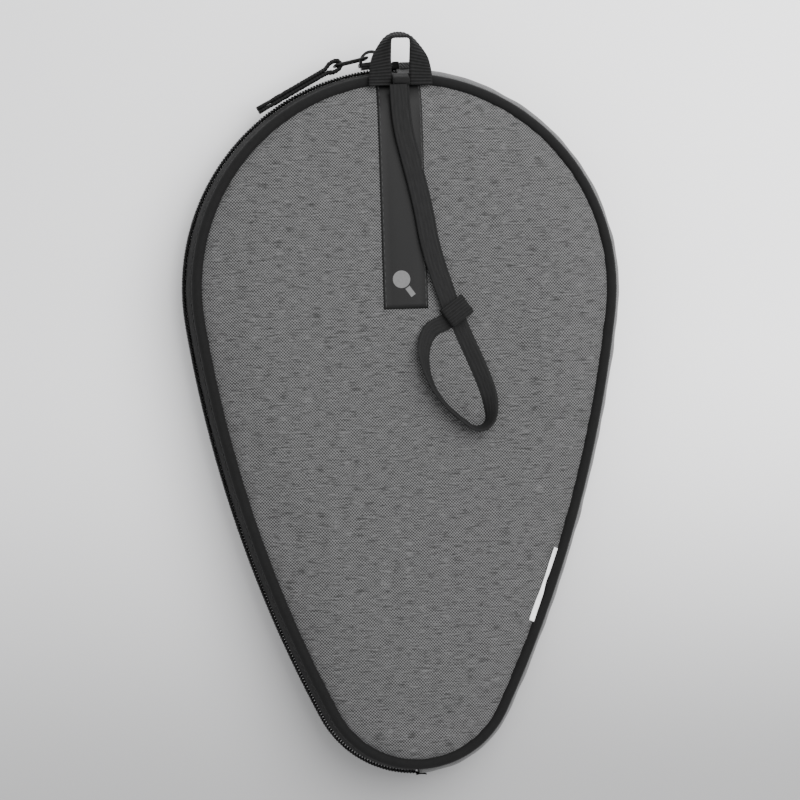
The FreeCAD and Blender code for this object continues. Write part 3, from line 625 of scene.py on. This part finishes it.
def make_strap():
    """One ribbon: down under itself, through the keeper, round the loop and back up."""
    controls, tip_controls = strap_controls()
    path = nurbs_points(controls)
    tips = np.radians(nurbs_points(tip_controls)[:, 0])
    across, face = path_frames(path, tips)
    strap = ribbon("wrist_strap", path, across, face, STRAP_WIDTH / 2, STRAP_THICKNESS / 2, strap_relief)
    case_piece(strap, "black_webbing", "wrist_strap_under", "wrist_strap_over", "wrist_strap_loop",
               material="strap_tape")
    length = running_length(path, False)[-1]
    print("strap length", round(length, 4))
    return strap, path


# ---------------- soft panels

def panel_grid():
    """Plan points and triangles of a panel: rings near the seam, an even grid inside."""
    ring_insets = np.array([6.8, 7.3, 7.9, 8.6, 9.5, 10.8, 12.4, 14.4, 17.0]) * MM
    spacing = 3.1 * MM
    s = full_turn(2.4 * MM)
    plan = [np.stack(outline.place(s, inset), 1) for inset in ring_insets]
    edge_count = len(s)
    columns = np.arange(-HEAD_RADIUS, HEAD_RADIUS, spacing)
    rows = np.arange(GUSSET_LOW.y, GUSSET_HIGH.y, spacing * math.sqrt(3) / 2)
    inner = np.array([(x + (index % 2) * spacing / 2, y) for index, y in enumerate(rows) for x in columns])
    inset = outline.locate(inner[:, 0], inner[:, 1])[1]
    plan.append(inner[inset > ring_insets[-1] + spacing * 0.6])
    plan = np.concatenate(plan)
    edges = [(index, (index + 1) % edge_count) for index in range(edge_count)]
    points = [Vector(point) for point in plan]
    found, _, faces, *_ = delaunay_2d_cdt(points, edges, [], 1, 1e-7)
    return np.array(found), [list(face) for face in faces], edge_count


# each layer's name, slot, the last word of its CAD nodes' names, and thickness, from outside inwards
LAYERS = (("fabric", "melange_fabric", "outer", FABRIC), ("foam", "foam", "foam", FOAM),
          ("lining", "lining", "lining", LINING))


def layer(name, plan, faces, edge_count, top, thickness):
    """A closed soft layer: its top surface, the same surface lower down, and the rim between."""
    count = len(plan)
    vertices = np.concatenate([np.column_stack([plan, top]), np.column_stack([plan, top - thickness])])
    under = [[index + count for index in reversed(face)] for face in faces]
    rim = [[(i + 1) % edge_count, i, i + count, (i + 1) % edge_count + count] for i in range(edge_count)]
    every = faces + under + rim
    corner_uv = [plan[index % count] for face in every for index in face]
    piece = add_object(name, vertices, every, corner_uv)
    outward_normals(piece)
    return piece


def crown(depth):
    """Rise of the front above its seam, at a depth inside it."""
    return 2.5 * MM * (1 - np.exp(-depth / (2.2 * MM))) + 2.3 * MM * (1 - np.exp(-depth / (12 * MM)))


def simulate(plan, faces, height, edge_count):
    """Cloth simulation of the front held at its seam. Returns new heights."""
    pressure, cap = 1.5, 1.2 * MM
    sheet = add_object("panel_cloth", np.column_stack([plan, height]), faces)
    pins = sheet.vertex_groups.new(name="seam")
    pins.add(list(range(edge_count * 2)), 1.0, "REPLACE")
    cloth = sheet.modifiers.new("Cloth", "CLOTH")
    settings = cloth.settings
    settings.quality = 6
    settings.mass = 0.05
    settings.tension_stiffness = settings.compression_stiffness = 12
    settings.shear_stiffness = 6
    settings.bending_stiffness = 0.4
    settings.use_pressure = True
    settings.uniform_pressure_force = pressure
    settings.shrink_min = -0.006
    settings.vertex_group_mass = pins.name
    settings.effector_weights.gravity = 0
    cloth.collision_settings.use_collision = False
    scene = bpy.context.scene
    for step in range(1, 21):
        scene.frame_set(step)
    held = sheet.evaluated_get(bpy.context.evaluated_depsgraph_get())
    moved = np.array([vertex.co for vertex in held.data.vertices])
    scene.frame_set(1)
    bpy.data.objects.remove(sheet)
    change = np.clip(moved[:, 2] - height, -cap, cap)
    print("panel moved", round(float(change.min()) * 1000, 2), round(float(change.max()) * 1000, 2))
    return height + change


def soft_noise(plan, size_x, size_y, seed):
    """Smooth noise at plan points, with bumps of about these sizes."""
    return np.array([noise.noise(Vector((x / size_x, y / size_y, seed))) for x, y in plan])


# Soft folds of the front, in millimetres: start and end in plan, width, rise.
CREASES = [
    ((80, 76), (58, 0), 7, 2.3),
    ((70, 90), (52, 30), 6, 1.3),
    ((86, 40), (66, -20), 5, 0.5),
    ((-84, 10), (-66, 4), 5, -0.9),
    ((-62, -44), (-50, -52), 5, -1.0),
    ((62, -20), (40, -70), 9, 0.5),
    ((-48, 118), (-34, 96), 4, -0.9),
    ((40, 118), (46, 92), 5, -0.9),
]


def crease(plan, start, end, width):
    """A ridge along a segment, soft across it and at its ends."""
    start, end = np.array(start) * MM, np.array(end) * MM
    run = end - start
    share = np.clip((plan - start) @ run / (run @ run), 0, 1)
    away = np.linalg.norm(plan - start - share[:, None] * run, axis=1)
    return np.exp(-(away / width) ** 2)


def front_heights(plan, faces, edge_count):
    """Height of the front fabric's top face at every plan point."""
    s, inset = outline.locate(plan[:, 0], plan[:, 1])
    depth = np.maximum(inset - PANEL_EDGE_INSET, 0)
    height = CASE_DEPTH - PIPING_RADIUS + crown(depth)
    fade = 1 - np.exp(-depth / (10 * MM))
    pucker = np.exp(-depth / (11 * MM)) * (1 - np.exp(-depth / (1.5 * MM)))
    height = height + 0.85 * MM * pucker * ripple(s, 10 * MM, 3)
    height = height + 0.45 * MM * fade * soft_noise(plan, 34 * MM, 60 * MM, seed=2.7)
    for start, end, width, rise in CREASES:
        height = height + rise * MM * fade * crease(plan, start, end, width * MM)
    height = simulate(plan, faces, height, edge_count)
    return height


def make_front():
    """Fabric, foam and lining of the front. Returns the fabric's surface, for what lies on it."""
    plan, faces, edge_count = panel_grid()
    top = front_heights(plan, faces, edge_count)
    under = top
    for name, slot, node, thickness in LAYERS:
        piece = layer(f"front_{name}", plan, faces, edge_count, under, thickness)
        front_piece(piece, slot, f"front_panel_{node}", f"flap_panel_{node}")
        under = under - thickness - LAYER_GAP
    return BVHTree.FromPolygons(np.column_stack([plan, top]).tolist(), faces)


def make_back():
    """The back lies flat on its fabric, rounded up to the seam at its edge."""
    plan, faces, edge_count = panel_grid()
    inset = outline.locate(plan[:, 0], plan[:, 1])[1]
    depth = np.maximum(inset - PANEL_EDGE_INSET, 0)
    lowest = PIPING_RADIUS * np.exp(-depth / (1.6 * MM))
    bottom = lowest + 0.12 * MM * (1 + soft_noise(plan, 30 * MM, 30 * MM, seed=5.1))
    for name, slot, node, thickness in LAYERS:
        piece = layer(f"back_{name}", plan, faces, edge_count, bottom + thickness, thickness)
        case_piece(piece, slot, f"back_panel_{node}")
        bottom = bottom + thickness + LAYER_GAP


def height_on(surface, x, y):
    """Height of the front's fabric at a place."""
    hit = surface.ray_cast(Vector((x, y, 1)), Vector((0, 0, -1)))
    return hit[0].z if hit[0] else CASE_DEPTH - PIPING_RADIUS


# ---------------- edges

def piping_wave(s, share):
    """The whole section moves a little in and out."""
    return 0.05 * MM * ripple(s, 7 * MM, 11) * np.ones_like(share)


def make_edges():
    """Piping on both faces, its cord, and the bindings over the seams inside."""
    back_z, front_z = PIPING_RADIUS, CASE_DEPTH - PIPING_RADIUS
    cover = circle_section(PIPING_INSET, 0, PIPING_RADIUS, 20)
    cord = circle_section(PIPING_INSET, 0, PIPING_CORD_RADIUS, 10)
    low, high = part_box("back_binding")
    rise = high.z - low.z
    inset = 8.2 * MM
    binding = np.array([(inset, 0), (inset + 0.8 * MM, 0.15 * MM), (inset + 1.0 * MM, rise / 2),
                        (inset + 0.8 * MM, rise - 0.15 * MM), (inset, rise)])
    binding_front_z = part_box("front_binding")[0].z
    for kind, slot, section, back, front, wave in (
            ("piping", "black_trim", cover, back_z, front_z, piping_wave),
            ("piping_cord", "cord_core", cord, back_z, front_z, None),
            ("binding", "black_trim", binding, low.z, binding_front_z, None)):
        case_piece(sweep_round(f"back_{kind}", section + (0, back), wave), slot, f"back_{kind}")
        over_fold = sweep_round(f"front_{kind}", section + (0, front), wave)
        front_piece(over_fold, slot, f"front_{kind}", f"flap_{kind}")


def gusset_wave(s, share):
    """Shallow waves, strongest half way up."""
    return 0.30 * MM * ripple(s, 17 * MM, 21) * np.sin(math.pi * share)


def make_gusset():
    """Right-hand side wall: fabric, foam and lining from the top of the zipper to its bottom."""
    s = -np.arange(0, outline.half, 1.5 * MM)
    reach, bow = 3.6 * MM, 15.2 * MM
    depth = 0.0
    for kind, slot, thickness in (("outer", "melange_fabric", FABRIC), ("foam", "foam", 1.5 * MM),
                                  ("lining", "lining", LINING)):
        section = bow_section(depth, bow - depth, thickness, reach + depth, CASE_DEPTH - reach - depth)
        wall = sweep(f"gusset_{kind}", s, section, wave=gusset_wave)
        case_piece(wall, slot, f"gusset_{kind}")
        depth += thickness + LAYER_GAP


# ---------------- zipper

COIL_PITCH = 1.3 * MM
COIL_WIRE = 0.33 * MM


def tube_rings(centre, first, second, radius):
    """Circles round a line's points, each in the plane of two directions at that point."""
    turn = np.arange(6) * TAU / 6
    ring = first[:, None] * np.cos(turn)[None, :, None] + second[:, None] * np.sin(turn)[None, :, None]
    return centre[:, None] + ring * radius


def coil_row(name, z, phase):
    """One row of a coil zipper: an oval spiral of thick thread along the edge of its tape."""
    turns = int((outline.half - 2 * MM) / COIL_PITCH)
    steps = 10
    t = np.arange(turns * steps + 1) / steps
    angle = TAU * t + phase
    s = 1 * MM + t * COIL_PITCH
    inset = 0.85 * MM - 0.55 * MM * np.cos(angle)
    height = z + 1.15 * MM * np.sin(angle)
    x, y = outline.place(s, inset)
    centre = np.stack([x, y, height], 1)
    x_in, y_in = outline.place(s, inset + 1 * MM)
    inward = np.stack([x_in - x, y_in - y, np.zeros_like(x)], 1) / MM
    upward = np.array([0, 0, 1.0])
    spoke = -inward * np.cos(angle)[:, None] + upward * np.sin(angle)[:, None]
    along = normalised(np.gradient(centre, axis=0))
    side = normalised(np.cross(along, spoke))
    return loft(name, tube_rings(centre, spoke, side, COIL_WIRE))


def thread_line(name, points, normals, length, gap, radius):
    """Stitches along a row of points: short threads that dive in at both ends."""
    distance = running_length(points, False)
    starts = np.arange(gap, distance[-1] - length, length + gap)
    lift = np.array([-0.8, 0.25, 0.55, 0.25, -0.8]) * radius
    swell = np.array([0.45, 0.9, 1.0, 0.9, 0.45]) * radius
    made = []
    for start in starts:
        at = start + np.linspace(0, length, 5)
        spot = np.stack([np.interp(at, distance, points[:, k]) for k in range(3)], 1)
        up = np.stack([np.interp(at, distance, normals[:, k]) for k in range(3)], 1)
        along = np.gradient(spot, axis=0)
        side = normalised(np.cross(along, up))
        centre = spot + up * lift[:, None]
        made.append(tube_rings(centre, side, up, swell[:, None, None]))
    return join_lofts(name, made)


def join_lofts(name, rings):
    """Many small lofts of one shape as a single object."""
    stations, places = rings[0].shape[:2]
    faces = []
    for base in range(0, len(rings) * stations * places, stations * places):
        for i in range(stations - 1):
            for j in range(places):
                row, k = base + i * places, (j + 1) % places
                faces.append([row + j, row + k, row + places + k, row + places + j])
        faces.append([base + j for j in range(places)])
        faces.append([base + (stations - 1) * places + j for j in reversed(range(places))])
    vertices = np.concatenate(rings).reshape(-1, 3)
    corner_uv = [vertices[index][[0, 2]] for face in faces for index in face]
    piece = add_object(name, vertices, faces, corner_uv)
    outward_normals(piece)
    return piece


def tape_wave(s, share):
    """Slight waves of the tape between its seam and its coil."""
    return 0.16 * MM * ripple(s, 14 * MM, 31) * np.sin(math.pi * share)


def make_zipper():
    """Two tapes down the left side, a coil on the edge of each, and their stitching."""
    s = np.arange(0, outline.half, 1.5 * MM)
    bow, thickness, depth = 19.9 * MM, 0.65 * MM, 1.6 * MM
    reach, edge = 3.7 * MM, 0.15 * MM
    back = sweep("zipper_tape_back", s, bow_section(depth, bow, thickness, reach, MIDDLE_Z - edge),
                 wave=tape_wave)
    case_piece(back, "black_trim", "zipper_tape_back")
    front = sweep("zipper_tape_front", s,
                  bow_section(depth, bow, thickness, MIDDLE_Z + edge, CASE_DEPTH - reach), wave=tape_wave)
    front_piece(front, "black_trim", "zipper_tape_flap", "zipper_tape_front_ends")
    apart = 1.05 * MM
    back_coil = coil_row("zipper_coil_back", MIDDLE_Z - apart, phase=0.0)
    case_piece(back_coil, "zip_coil", "zipper_coil_back")
    front_coil = coil_row("zipper_coil_front", MIDDLE_Z + apart, phase=math.pi)
    front_piece(front_coil, "zip_coil", "zipper_coil_flap", "zipper_coil_front_ends")
    row_z = 7.0 * MM
    for name, z, attach in (("tape_stitching_back", row_z, case_piece),
                            ("tape_stitching_front", CASE_DEPTH - row_z, front_piece)):
        tilt = math.asin((z - MIDDLE_Z) / bow)
        inset = np.full_like(s, depth + bow * (1 - math.cos(tilt)))
        x, y = outline.place(s, inset)
        x_out, y_out = outline.place(s, inset - 1 * MM)
        normals = np.stack([(x_out - x) / MM * math.cos(tilt), (y_out - y) / MM * math.cos(tilt),
                            np.full_like(x, math.sin(tilt))], 1)
        points = np.stack([x, y, np.full_like(x, z)], 1)
        threads = thread_line(name, points, normals, length=2.6 * MM, gap=0.7 * MM, radius=0.2 * MM)
        attach(threads, "black_trim", material="thread")


def rounded_tab(name, low, high, bulge, bevel):
    """A small folded tab: a box with soft edges and puffed faces."""
    work = bmesh.new()
    bmesh.ops.create_cube(work, size=1)
    size, middle = high - low, (high + low) / 2
    for vertex in work.verts:
        vertex.co = Vector(a * b for a, b in zip(vertex.co, size)) + middle
    bmesh.ops.bevel(work, geom=work.edges[:], offset=bevel, segments=3, profile=0.6, affect="EDGES")
    bmesh.ops.subdivide_edges(work, edges=work.edges[:], cuts=3, use_grid_fill=True)
    for vertex in work.verts:
        share = [(vertex.co[k] - middle[k]) / (size[k] / 2) for k in range(3)]
        puff = [bulge * share[k] * (1 - share[(k + 1) % 3] ** 2) * (1 - share[(k + 2) % 3] ** 2)
                for k in range(3)]
        vertex.co += Vector(puff)
    piece = object_from(work, name)
    mesh = piece.data
    uv = mesh.uv_layers.new(name="weave")
    for loop in mesh.loops:
        co = mesh.vertices[loop.vertex_index].co
        uv.data[loop.index].uv = (co.x + co.y, co.z)
    mesh.polygons.foreach_set("use_smooth", [True] * len(mesh.polygons))
    return piece


def make_stops():
    """Folded tabs over the zipper's ends, and the gusset's own folded end beside the upper one."""
    low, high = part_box("zipper_bottom_stop")
    seen_low = low + Vector((0, 1.1, 0)) * MM
    tab = rounded_tab("zipper_bottom_tab", seen_low, high, bulge=0.1 * MM, bevel=0.2 * MM)
    case_piece(tab, "black_trim", "zipper_bottom_stop")
    low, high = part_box("zipper_top_stop")
    tab_low = Vector((-1.8 * MM, low.y - 0.6 * MM, low.z - 1.5 * MM))
    tab_high = Vector((0.9 * MM, high.y + 1.2 * MM, high.z + 1.5 * MM))
    tab = rounded_tab("zipper_top_tab", tab_low, tab_high, bulge=0.2 * MM, bevel=0.3 * MM)
    case_piece(tab, "black_trim", "zipper_top_stop")
    fold_low, fold_high = tab_low + Vector((2.8, -0.2, -1)) * MM, tab_high + Vector((4.6, -0.4, 1)) * MM
    fold = rounded_tab("gusset_end_fold", fold_low, fold_high, bulge=0.3 * MM, bevel=0.4 * MM)
    case_piece(fold, "melange_fabric")


def make_slider():
    """The CAD slider, bail and link keep their shapes and get painted metal. A guide is added."""
    for node in ("zip_slider", "zip_slider_bail", "pull_link"):
        piece = frame["nodes"][node]
        piece.data.materials.clear()
        piece.data.materials.append(MATERIALS["zip_metal"])
    # the guide is a box above the head's centre, turned about it to where the slider rests
    low, high = Vector((-4.6, 92.25, 12.2)) * MM, Vector((4.6, 93.6, 17.8)) * MM
    rest_turn = math.radians(6)
    guide = rounded_tab("zip_slider_guide", low, high, bulge=0.05 * MM, bevel=0.3 * MM)
    guide.data.transform(Matrix.Translation((0, HEAD_Y, 0)) @ Matrix.Rotation(rest_turn, 4, "Z"))
    body_piece("slider", guide, "zip_metal")


def make_tab():
    """Webbing folded round the link's far bar and sewn to itself."""
    low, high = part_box("pull_tab")
    half_width = (high.z - low.z) / 2
    pivot = Vector(next(joint["pos_m"] for joint in frame["joints"] if joint["name"] == "tab_swing"))
    turn = math.radians(208.8)
    length, eye, gap = 37 * MM, 1.75 * MM, 0.80 * MM
    half = [(length, gap), (length * 0.7, gap), (length * 0.35, gap), (5.5 * MM, gap),
            (3.6 * MM, gap * 1.2), (2.2 * MM, eye * 1.1), (0, eye * 1.2), (-eye * 1.1, eye * 0.9)]
    plan = [(x, -y) for x, y in half] + [(-eye * 1.35, 0)] + half[::-1]
    controls = [(*turned(pivot, x, y, turn), pivot.z) for x, y in plan]
    path = nurbs_points(controls, resolution=16)
    along = normalised(np.gradient(path, axis=0))
    across = np.broadcast_to(np.array([0, 0, 1.0]), path.shape)
    face = np.cross(across, along)
    tab = ribbon("pull_tab_webbing", path, across, face, half_width, 0.80 * MM, rib_relief(6))
    body_piece("tab", tab, "black_webbing", "pull_tab")


# ---------------- hanging loop, anchor, keeper

def make_hanging_loop():
    """Webbing sewn on by both ends, which turns on edge over the top."""
    low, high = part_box("hanging_loop")
    middle, top = (low.x + high.x) / 2, high.y
    level = (low.z + high.z) / 2
    # outer and inner edge of the left leg, from the seam to the crest: x from the middle, y from the
    # crest's outermost line, z from the loop's middle height
    outer = [(-13.2, -24.4, 0.0), (-13.1, -20.5, 0.1), (-12.7, -16.5, 0.1), (-11.6, -12.2, -0.6),
             (-9.2, -8.8, -2.4), (-6.0, -4.6, -4.2), (-2.6, -2.5, -4.8), (0, -2.15, -4.9)]
    inner = [(-3.5, -24.4, 0.0), (-3.6, -20.5, 0.1), (-3.7, -15.0, 0.5), (-3.8, -10.6, 2.2),
             (-3.9, -7.2, 4.0), (-3.9, -5.2, 4.8), (-2.6, -5.0, 4.9), (0, -5.05, 4.9)]

    def edge(points):
        placed = [(middle + x * MM, top + y * MM, level + z * MM) for x, y, z in points]
        mirrored = [(2 * middle - x, y, z) for x, y, z in reversed(placed[:-1])]
        return nurbs_points(placed + mirrored, resolution=26)

    outer_edge, inner_edge = edge(outer), edge(inner)
    path = (outer_edge + inner_edge) / 2
    across = outer_edge - inner_edge
    half_width = np.linalg.norm(across, axis=1)[:, None] / 2
    unit = across / (2 * half_width)
    along = np.gradient(path, axis=0)
    face = normalised(np.cross(unit, along))
    nominal = 5 * MM
    loop = ribbon("hanging_loop_webbing", path, unit * half_width / nominal, face, nominal, 0.7 * MM,
                  rib_relief(8), count=18)
    case_piece(loop, "black_webbing", "hanging_loop")


def make_anchor():
    """Smooth tape folded over the strap's ends and down across the piping."""
    low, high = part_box("strap_anchor")
    centre_x, half_width = (low.x + high.x) / 2, (high.x - low.x) * 0.62
    profile = [(low.y - 0.4 * MM, CROWN_TOP + 0.9 * MM), (low.y - 0.3 * MM, high.z - 0.2 * MM),
               (low.y + 1.2 * MM, high.z + 0.2 * MM), (low.y + 3.0 * MM, high.z - 1.0 * MM),
               (high.y - 0.6 * MM, low.z + 2.2 * MM), (high.y + 0.5 * MM, low.z - 0.2 * MM),
               (high.y + 0.9 * MM, low.z - 3.5 * MM), (high.y + 0.2 * MM, low.z - 3.8 * MM),
               (high.y, low.z - 0.8 * MM), (low.y + 1.0 * MM, low.z + 0.2 * MM)]
    share = np.array([-1.0, -0.97, -0.85, -0.5, 0, 0.5, 0.85, 0.97, 1.0])
    tuck = np.array([0.6, 0.25, 0.05, 0, 0, 0, 0.05, 0.25, 0.6]) * MM
    middle = np.mean(profile, axis=0)
    rings = []
    for place, shrink in zip(share, tuck):
        ring = []
        for y, z in profile:
            away = np.array((y, z)) - middle
            y_in, z_in = middle + away * (1 - shrink / np.linalg.norm(away))
            ring.append((centre_x + place * half_width, y_in, z_in))
        rings.append(ring)
    anchor = loft("strap_anchor_tape", np.array(rings))
    smooth = anchor.modifiers.new("rounding", "SUBSURF")
    smooth.levels = smooth.render_levels = 2
    case_piece(anchor, "black_trim", "strap_anchor")


def make_keeper():
    """Webbing sleeve round both layers of the strap."""
    low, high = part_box("strap_keeper")
    onto_strap, lift = Vector((2.4, -2.0, 0)) * MM, 0.15 * MM
    centre = (low + high) / 2 + onto_strap
    centre.z = (STRAP_UNDER_Z + STRAP_OVER_Z) / 2 + lift
    heading = Vector((math.cos(KEEPER_HEADING), math.sin(KEEPER_HEADING), 0))
    side = Vector((heading.y, -heading.x, 0))
    half_wide, half_high, wall, length = 5.0 * MM, 1.85 * MM, 0.6 * MM, 8.8 * MM
    squareness = 2 / 5
    angle = np.arange(40) * TAU / 40
    wide = np.sign(np.cos(angle)) * np.abs(np.cos(angle)) ** squareness
    tall = np.sign(np.sin(angle)) * np.abs(np.sin(angle)) ** squareness

    def ring(station, swell):
        middle = centre + heading * (station * length)
        return [middle + side * ((half_wide + swell) * w) + Vector((0, 0, (half_high + swell) * t))
                for w, t in zip(wide, tall)]

    stations = np.linspace(-0.5, 0.5, 45)
    outer = []
    for station in stations:
        rib = 0.10 * MM * math.sin(TAU * station * length / RIB_PITCH) * (1 - abs(2 * station) ** 12)
        outer.append(ring(station, wall + rib - 0.15 * MM * abs(2 * station) ** 10))
    inner = [ring(station, 0) for station in stations[::-1]]
    keeper = loft("strap_keeper_webbing", np.array(outer + inner), closed_path=True)
    return body_piece("keeper", keeper, "black_webbing", "strap_keeper")


# ---------------- band, mark, label

def make_band(surface):
    """Smooth band sewn to the front, following its fabric."""
    low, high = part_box("front_band")
    half = (high.x - low.x) / 2
    centre_x = (low.x + high.x) / 2
    thickness, gap, sunk = 0.55 * MM, 0.05 * MM, 0.15 * MM
    share = np.array([-1, -0.985, -0.96, -0.9, -0.84, -0.6, -0.3, 0, 0.3, 0.6, 0.84, 0.9, 0.96, 0.985, 1])
    lift = np.array([0.1, 0.75, 0.95, 0.98, 0.8, 1, 1, 1, 1, 1, 0.8, 0.98, 0.95, 0.75, 0.1])
    across = centre_x + share * half
    lines = np.linspace(low.y, high.y + 0.5 * MM, 90)
    rings = []
    for index, y in enumerate(lines):
        end_drop = 0.25 if index == 0 else 1.0
        base = [height_on(surface, x, y) for x in across]
        top = [(x, y, ground + gap + thickness * rise * end_drop)
               for x, rise, ground in zip(across, lift, base)]
        rings.append(top + [(x, y, ground - sunk) for x, ground in zip(across[::-1], base[::-1])])
    band = loft("front_band_strip", np.array(rings))
    case_piece(band, "smooth_band", "front_band")
    for side in (-1, 1):
        x = centre_x + side * half * 0.9
        points = np.array([(x, y, height_on(surface, x, y) + thickness * 0.98 + gap) for y in lines])
        normals = np.broadcast_to(np.array([0, 0, 1.0]), points.shape)
        stitching = thread_line("band_stitching_" + ("left" if side < 0 else "right"), points, normals,
                                length=2.4 * MM, gap=0.7 * MM, radius=0.16 * MM)
        case_piece(stitching, "black_trim", material="thread")


def make_mark(surface):
    """A plain little bat, printed on the band."""
    low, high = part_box("band_mark")
    turn = math.radians(35)
    disc_radius, handle_half = 3.6 * MM, 1.1 * MM
    handle_top, handle_bottom = 4.1 * MM, 8.3 * MM
    centre = Vector((low.x + disc_radius, high.y - disc_radius, 0))
    print_top, print_depth = 0.68 * MM, 0.2 * MM
    angle = np.arange(48) * TAU / 48
    disc = [(disc_radius * math.cos(a), disc_radius * math.sin(a)) for a in angle]
    handle = [(-handle_half, -handle_bottom), (handle_half, -handle_bottom),
              (handle_half, -handle_top), (-handle_half, -handle_top)]
    work = bmesh.new()
    for shape in (disc, handle):
        corners = []
        for point in shape:
            x, y = turned(centre, *point, turn)
            corners.append(work.verts.new((x, y, height_on(surface, x, y) + print_top)))
        face = work.faces.new(corners)
        raised = bmesh.ops.extrude_face_region(work, geom=[face])
        for item in raised["geom"]:
            if isinstance(item, bmesh.types.BMVert):
                item.co.z -= print_depth
    bmesh.ops.recalc_face_normals(work, faces=work.faces)
    case_piece(object_from(work, "band_mark_print"), "mark_print", "band_mark")


def make_label(surface):
    """Narrow blank ribbon caught in the right-hand seam, with a slight twist."""
    low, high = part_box("side_label")
    turn = math.radians(-20.6)
    middle = (low + high) / 2
    along = np.array([-math.sin(turn), math.cos(turn), 0])
    outward = np.array([math.cos(turn), math.sin(turn), 0])
    length = 32 * MM
    share = np.linspace(-0.5, 0.5, 40)
    path = []
    for k in share:
        x, y = np.array(middle)[:2] + along[:2] * k * length
        path.append((x, y, height_on(surface, x, y) + 0.5 * MM))
    path = np.array(path)
    pinch = 1 - 0.35 * np.exp(-((share - 0.05) / 0.16) ** 2)
    tip = np.radians(18 + 18 * np.sin(share * math.pi))
    across = (outward[None] * np.cos(tip)[:, None] + np.array([0, 0, 1.0]) * -np.sin(tip)[:, None])
    across = across * pinch[:, None]
    face = normalised(np.cross(across, along))
    label = ribbon("side_label_ribbon", path, across, face, half_width=1.1 * MM,
                   half_thickness=0.22 * MM)
    case_piece(label, "white_label", "side_label")


# ---------------- stage

def disc_light(name, place, target, size, power):
    data = bpy.data.lights.new(name, "AREA")
    data.shape = "DISK"
    data.size = size
    data.energy = power
    lamp = bpy.data.objects.new(name, data)
    bpy.context.scene.collection.objects.link(lamp)
    lamp.location = place
    lamp.rotation_mode = "QUATERNION"
    lamp.rotation_quaternion = (Vector(target) - Vector(place)).to_track_quat("-Z", "Y")


def make_stage():
    """Pale floor, a large soft light from the upper right and even light all round."""
    side, steps = 3.0, 24
    line = np.linspace(-side, side, steps)
    points = np.array([[(x, y, -0.2 * MM) for y in line] for x in line])
    floor = loft("floor", points, closed_section=False)
    floor.data.materials.append(floor_material())
    world = bpy.data.worlds.new("studio")
    bpy.context.scene.world = world
    world.use_nodes = True
    background = world.node_tree.nodes["Background"]
    background.inputs["Color"].default_value = (0.93, 0.93, 0.935, 1)
    background.inputs["Strength"].default_value = 1.50
    disc_light("key", (0.34, 0.42, 0.85), (0.0, 0.02, 0.0), size=1.0, power=18)


# ---------------- build

make_camera()
make_stage()
strap, strap_path = make_strap()
keeper = make_keeper()
front_surface = make_front()
make_back()
make_edges()
make_gusset()
make_zipper()
make_stops()
make_slider()
make_tab()
make_hanging_loop()
make_anchor()
make_band(front_surface)
make_mark(front_surface)
make_label(front_surface)
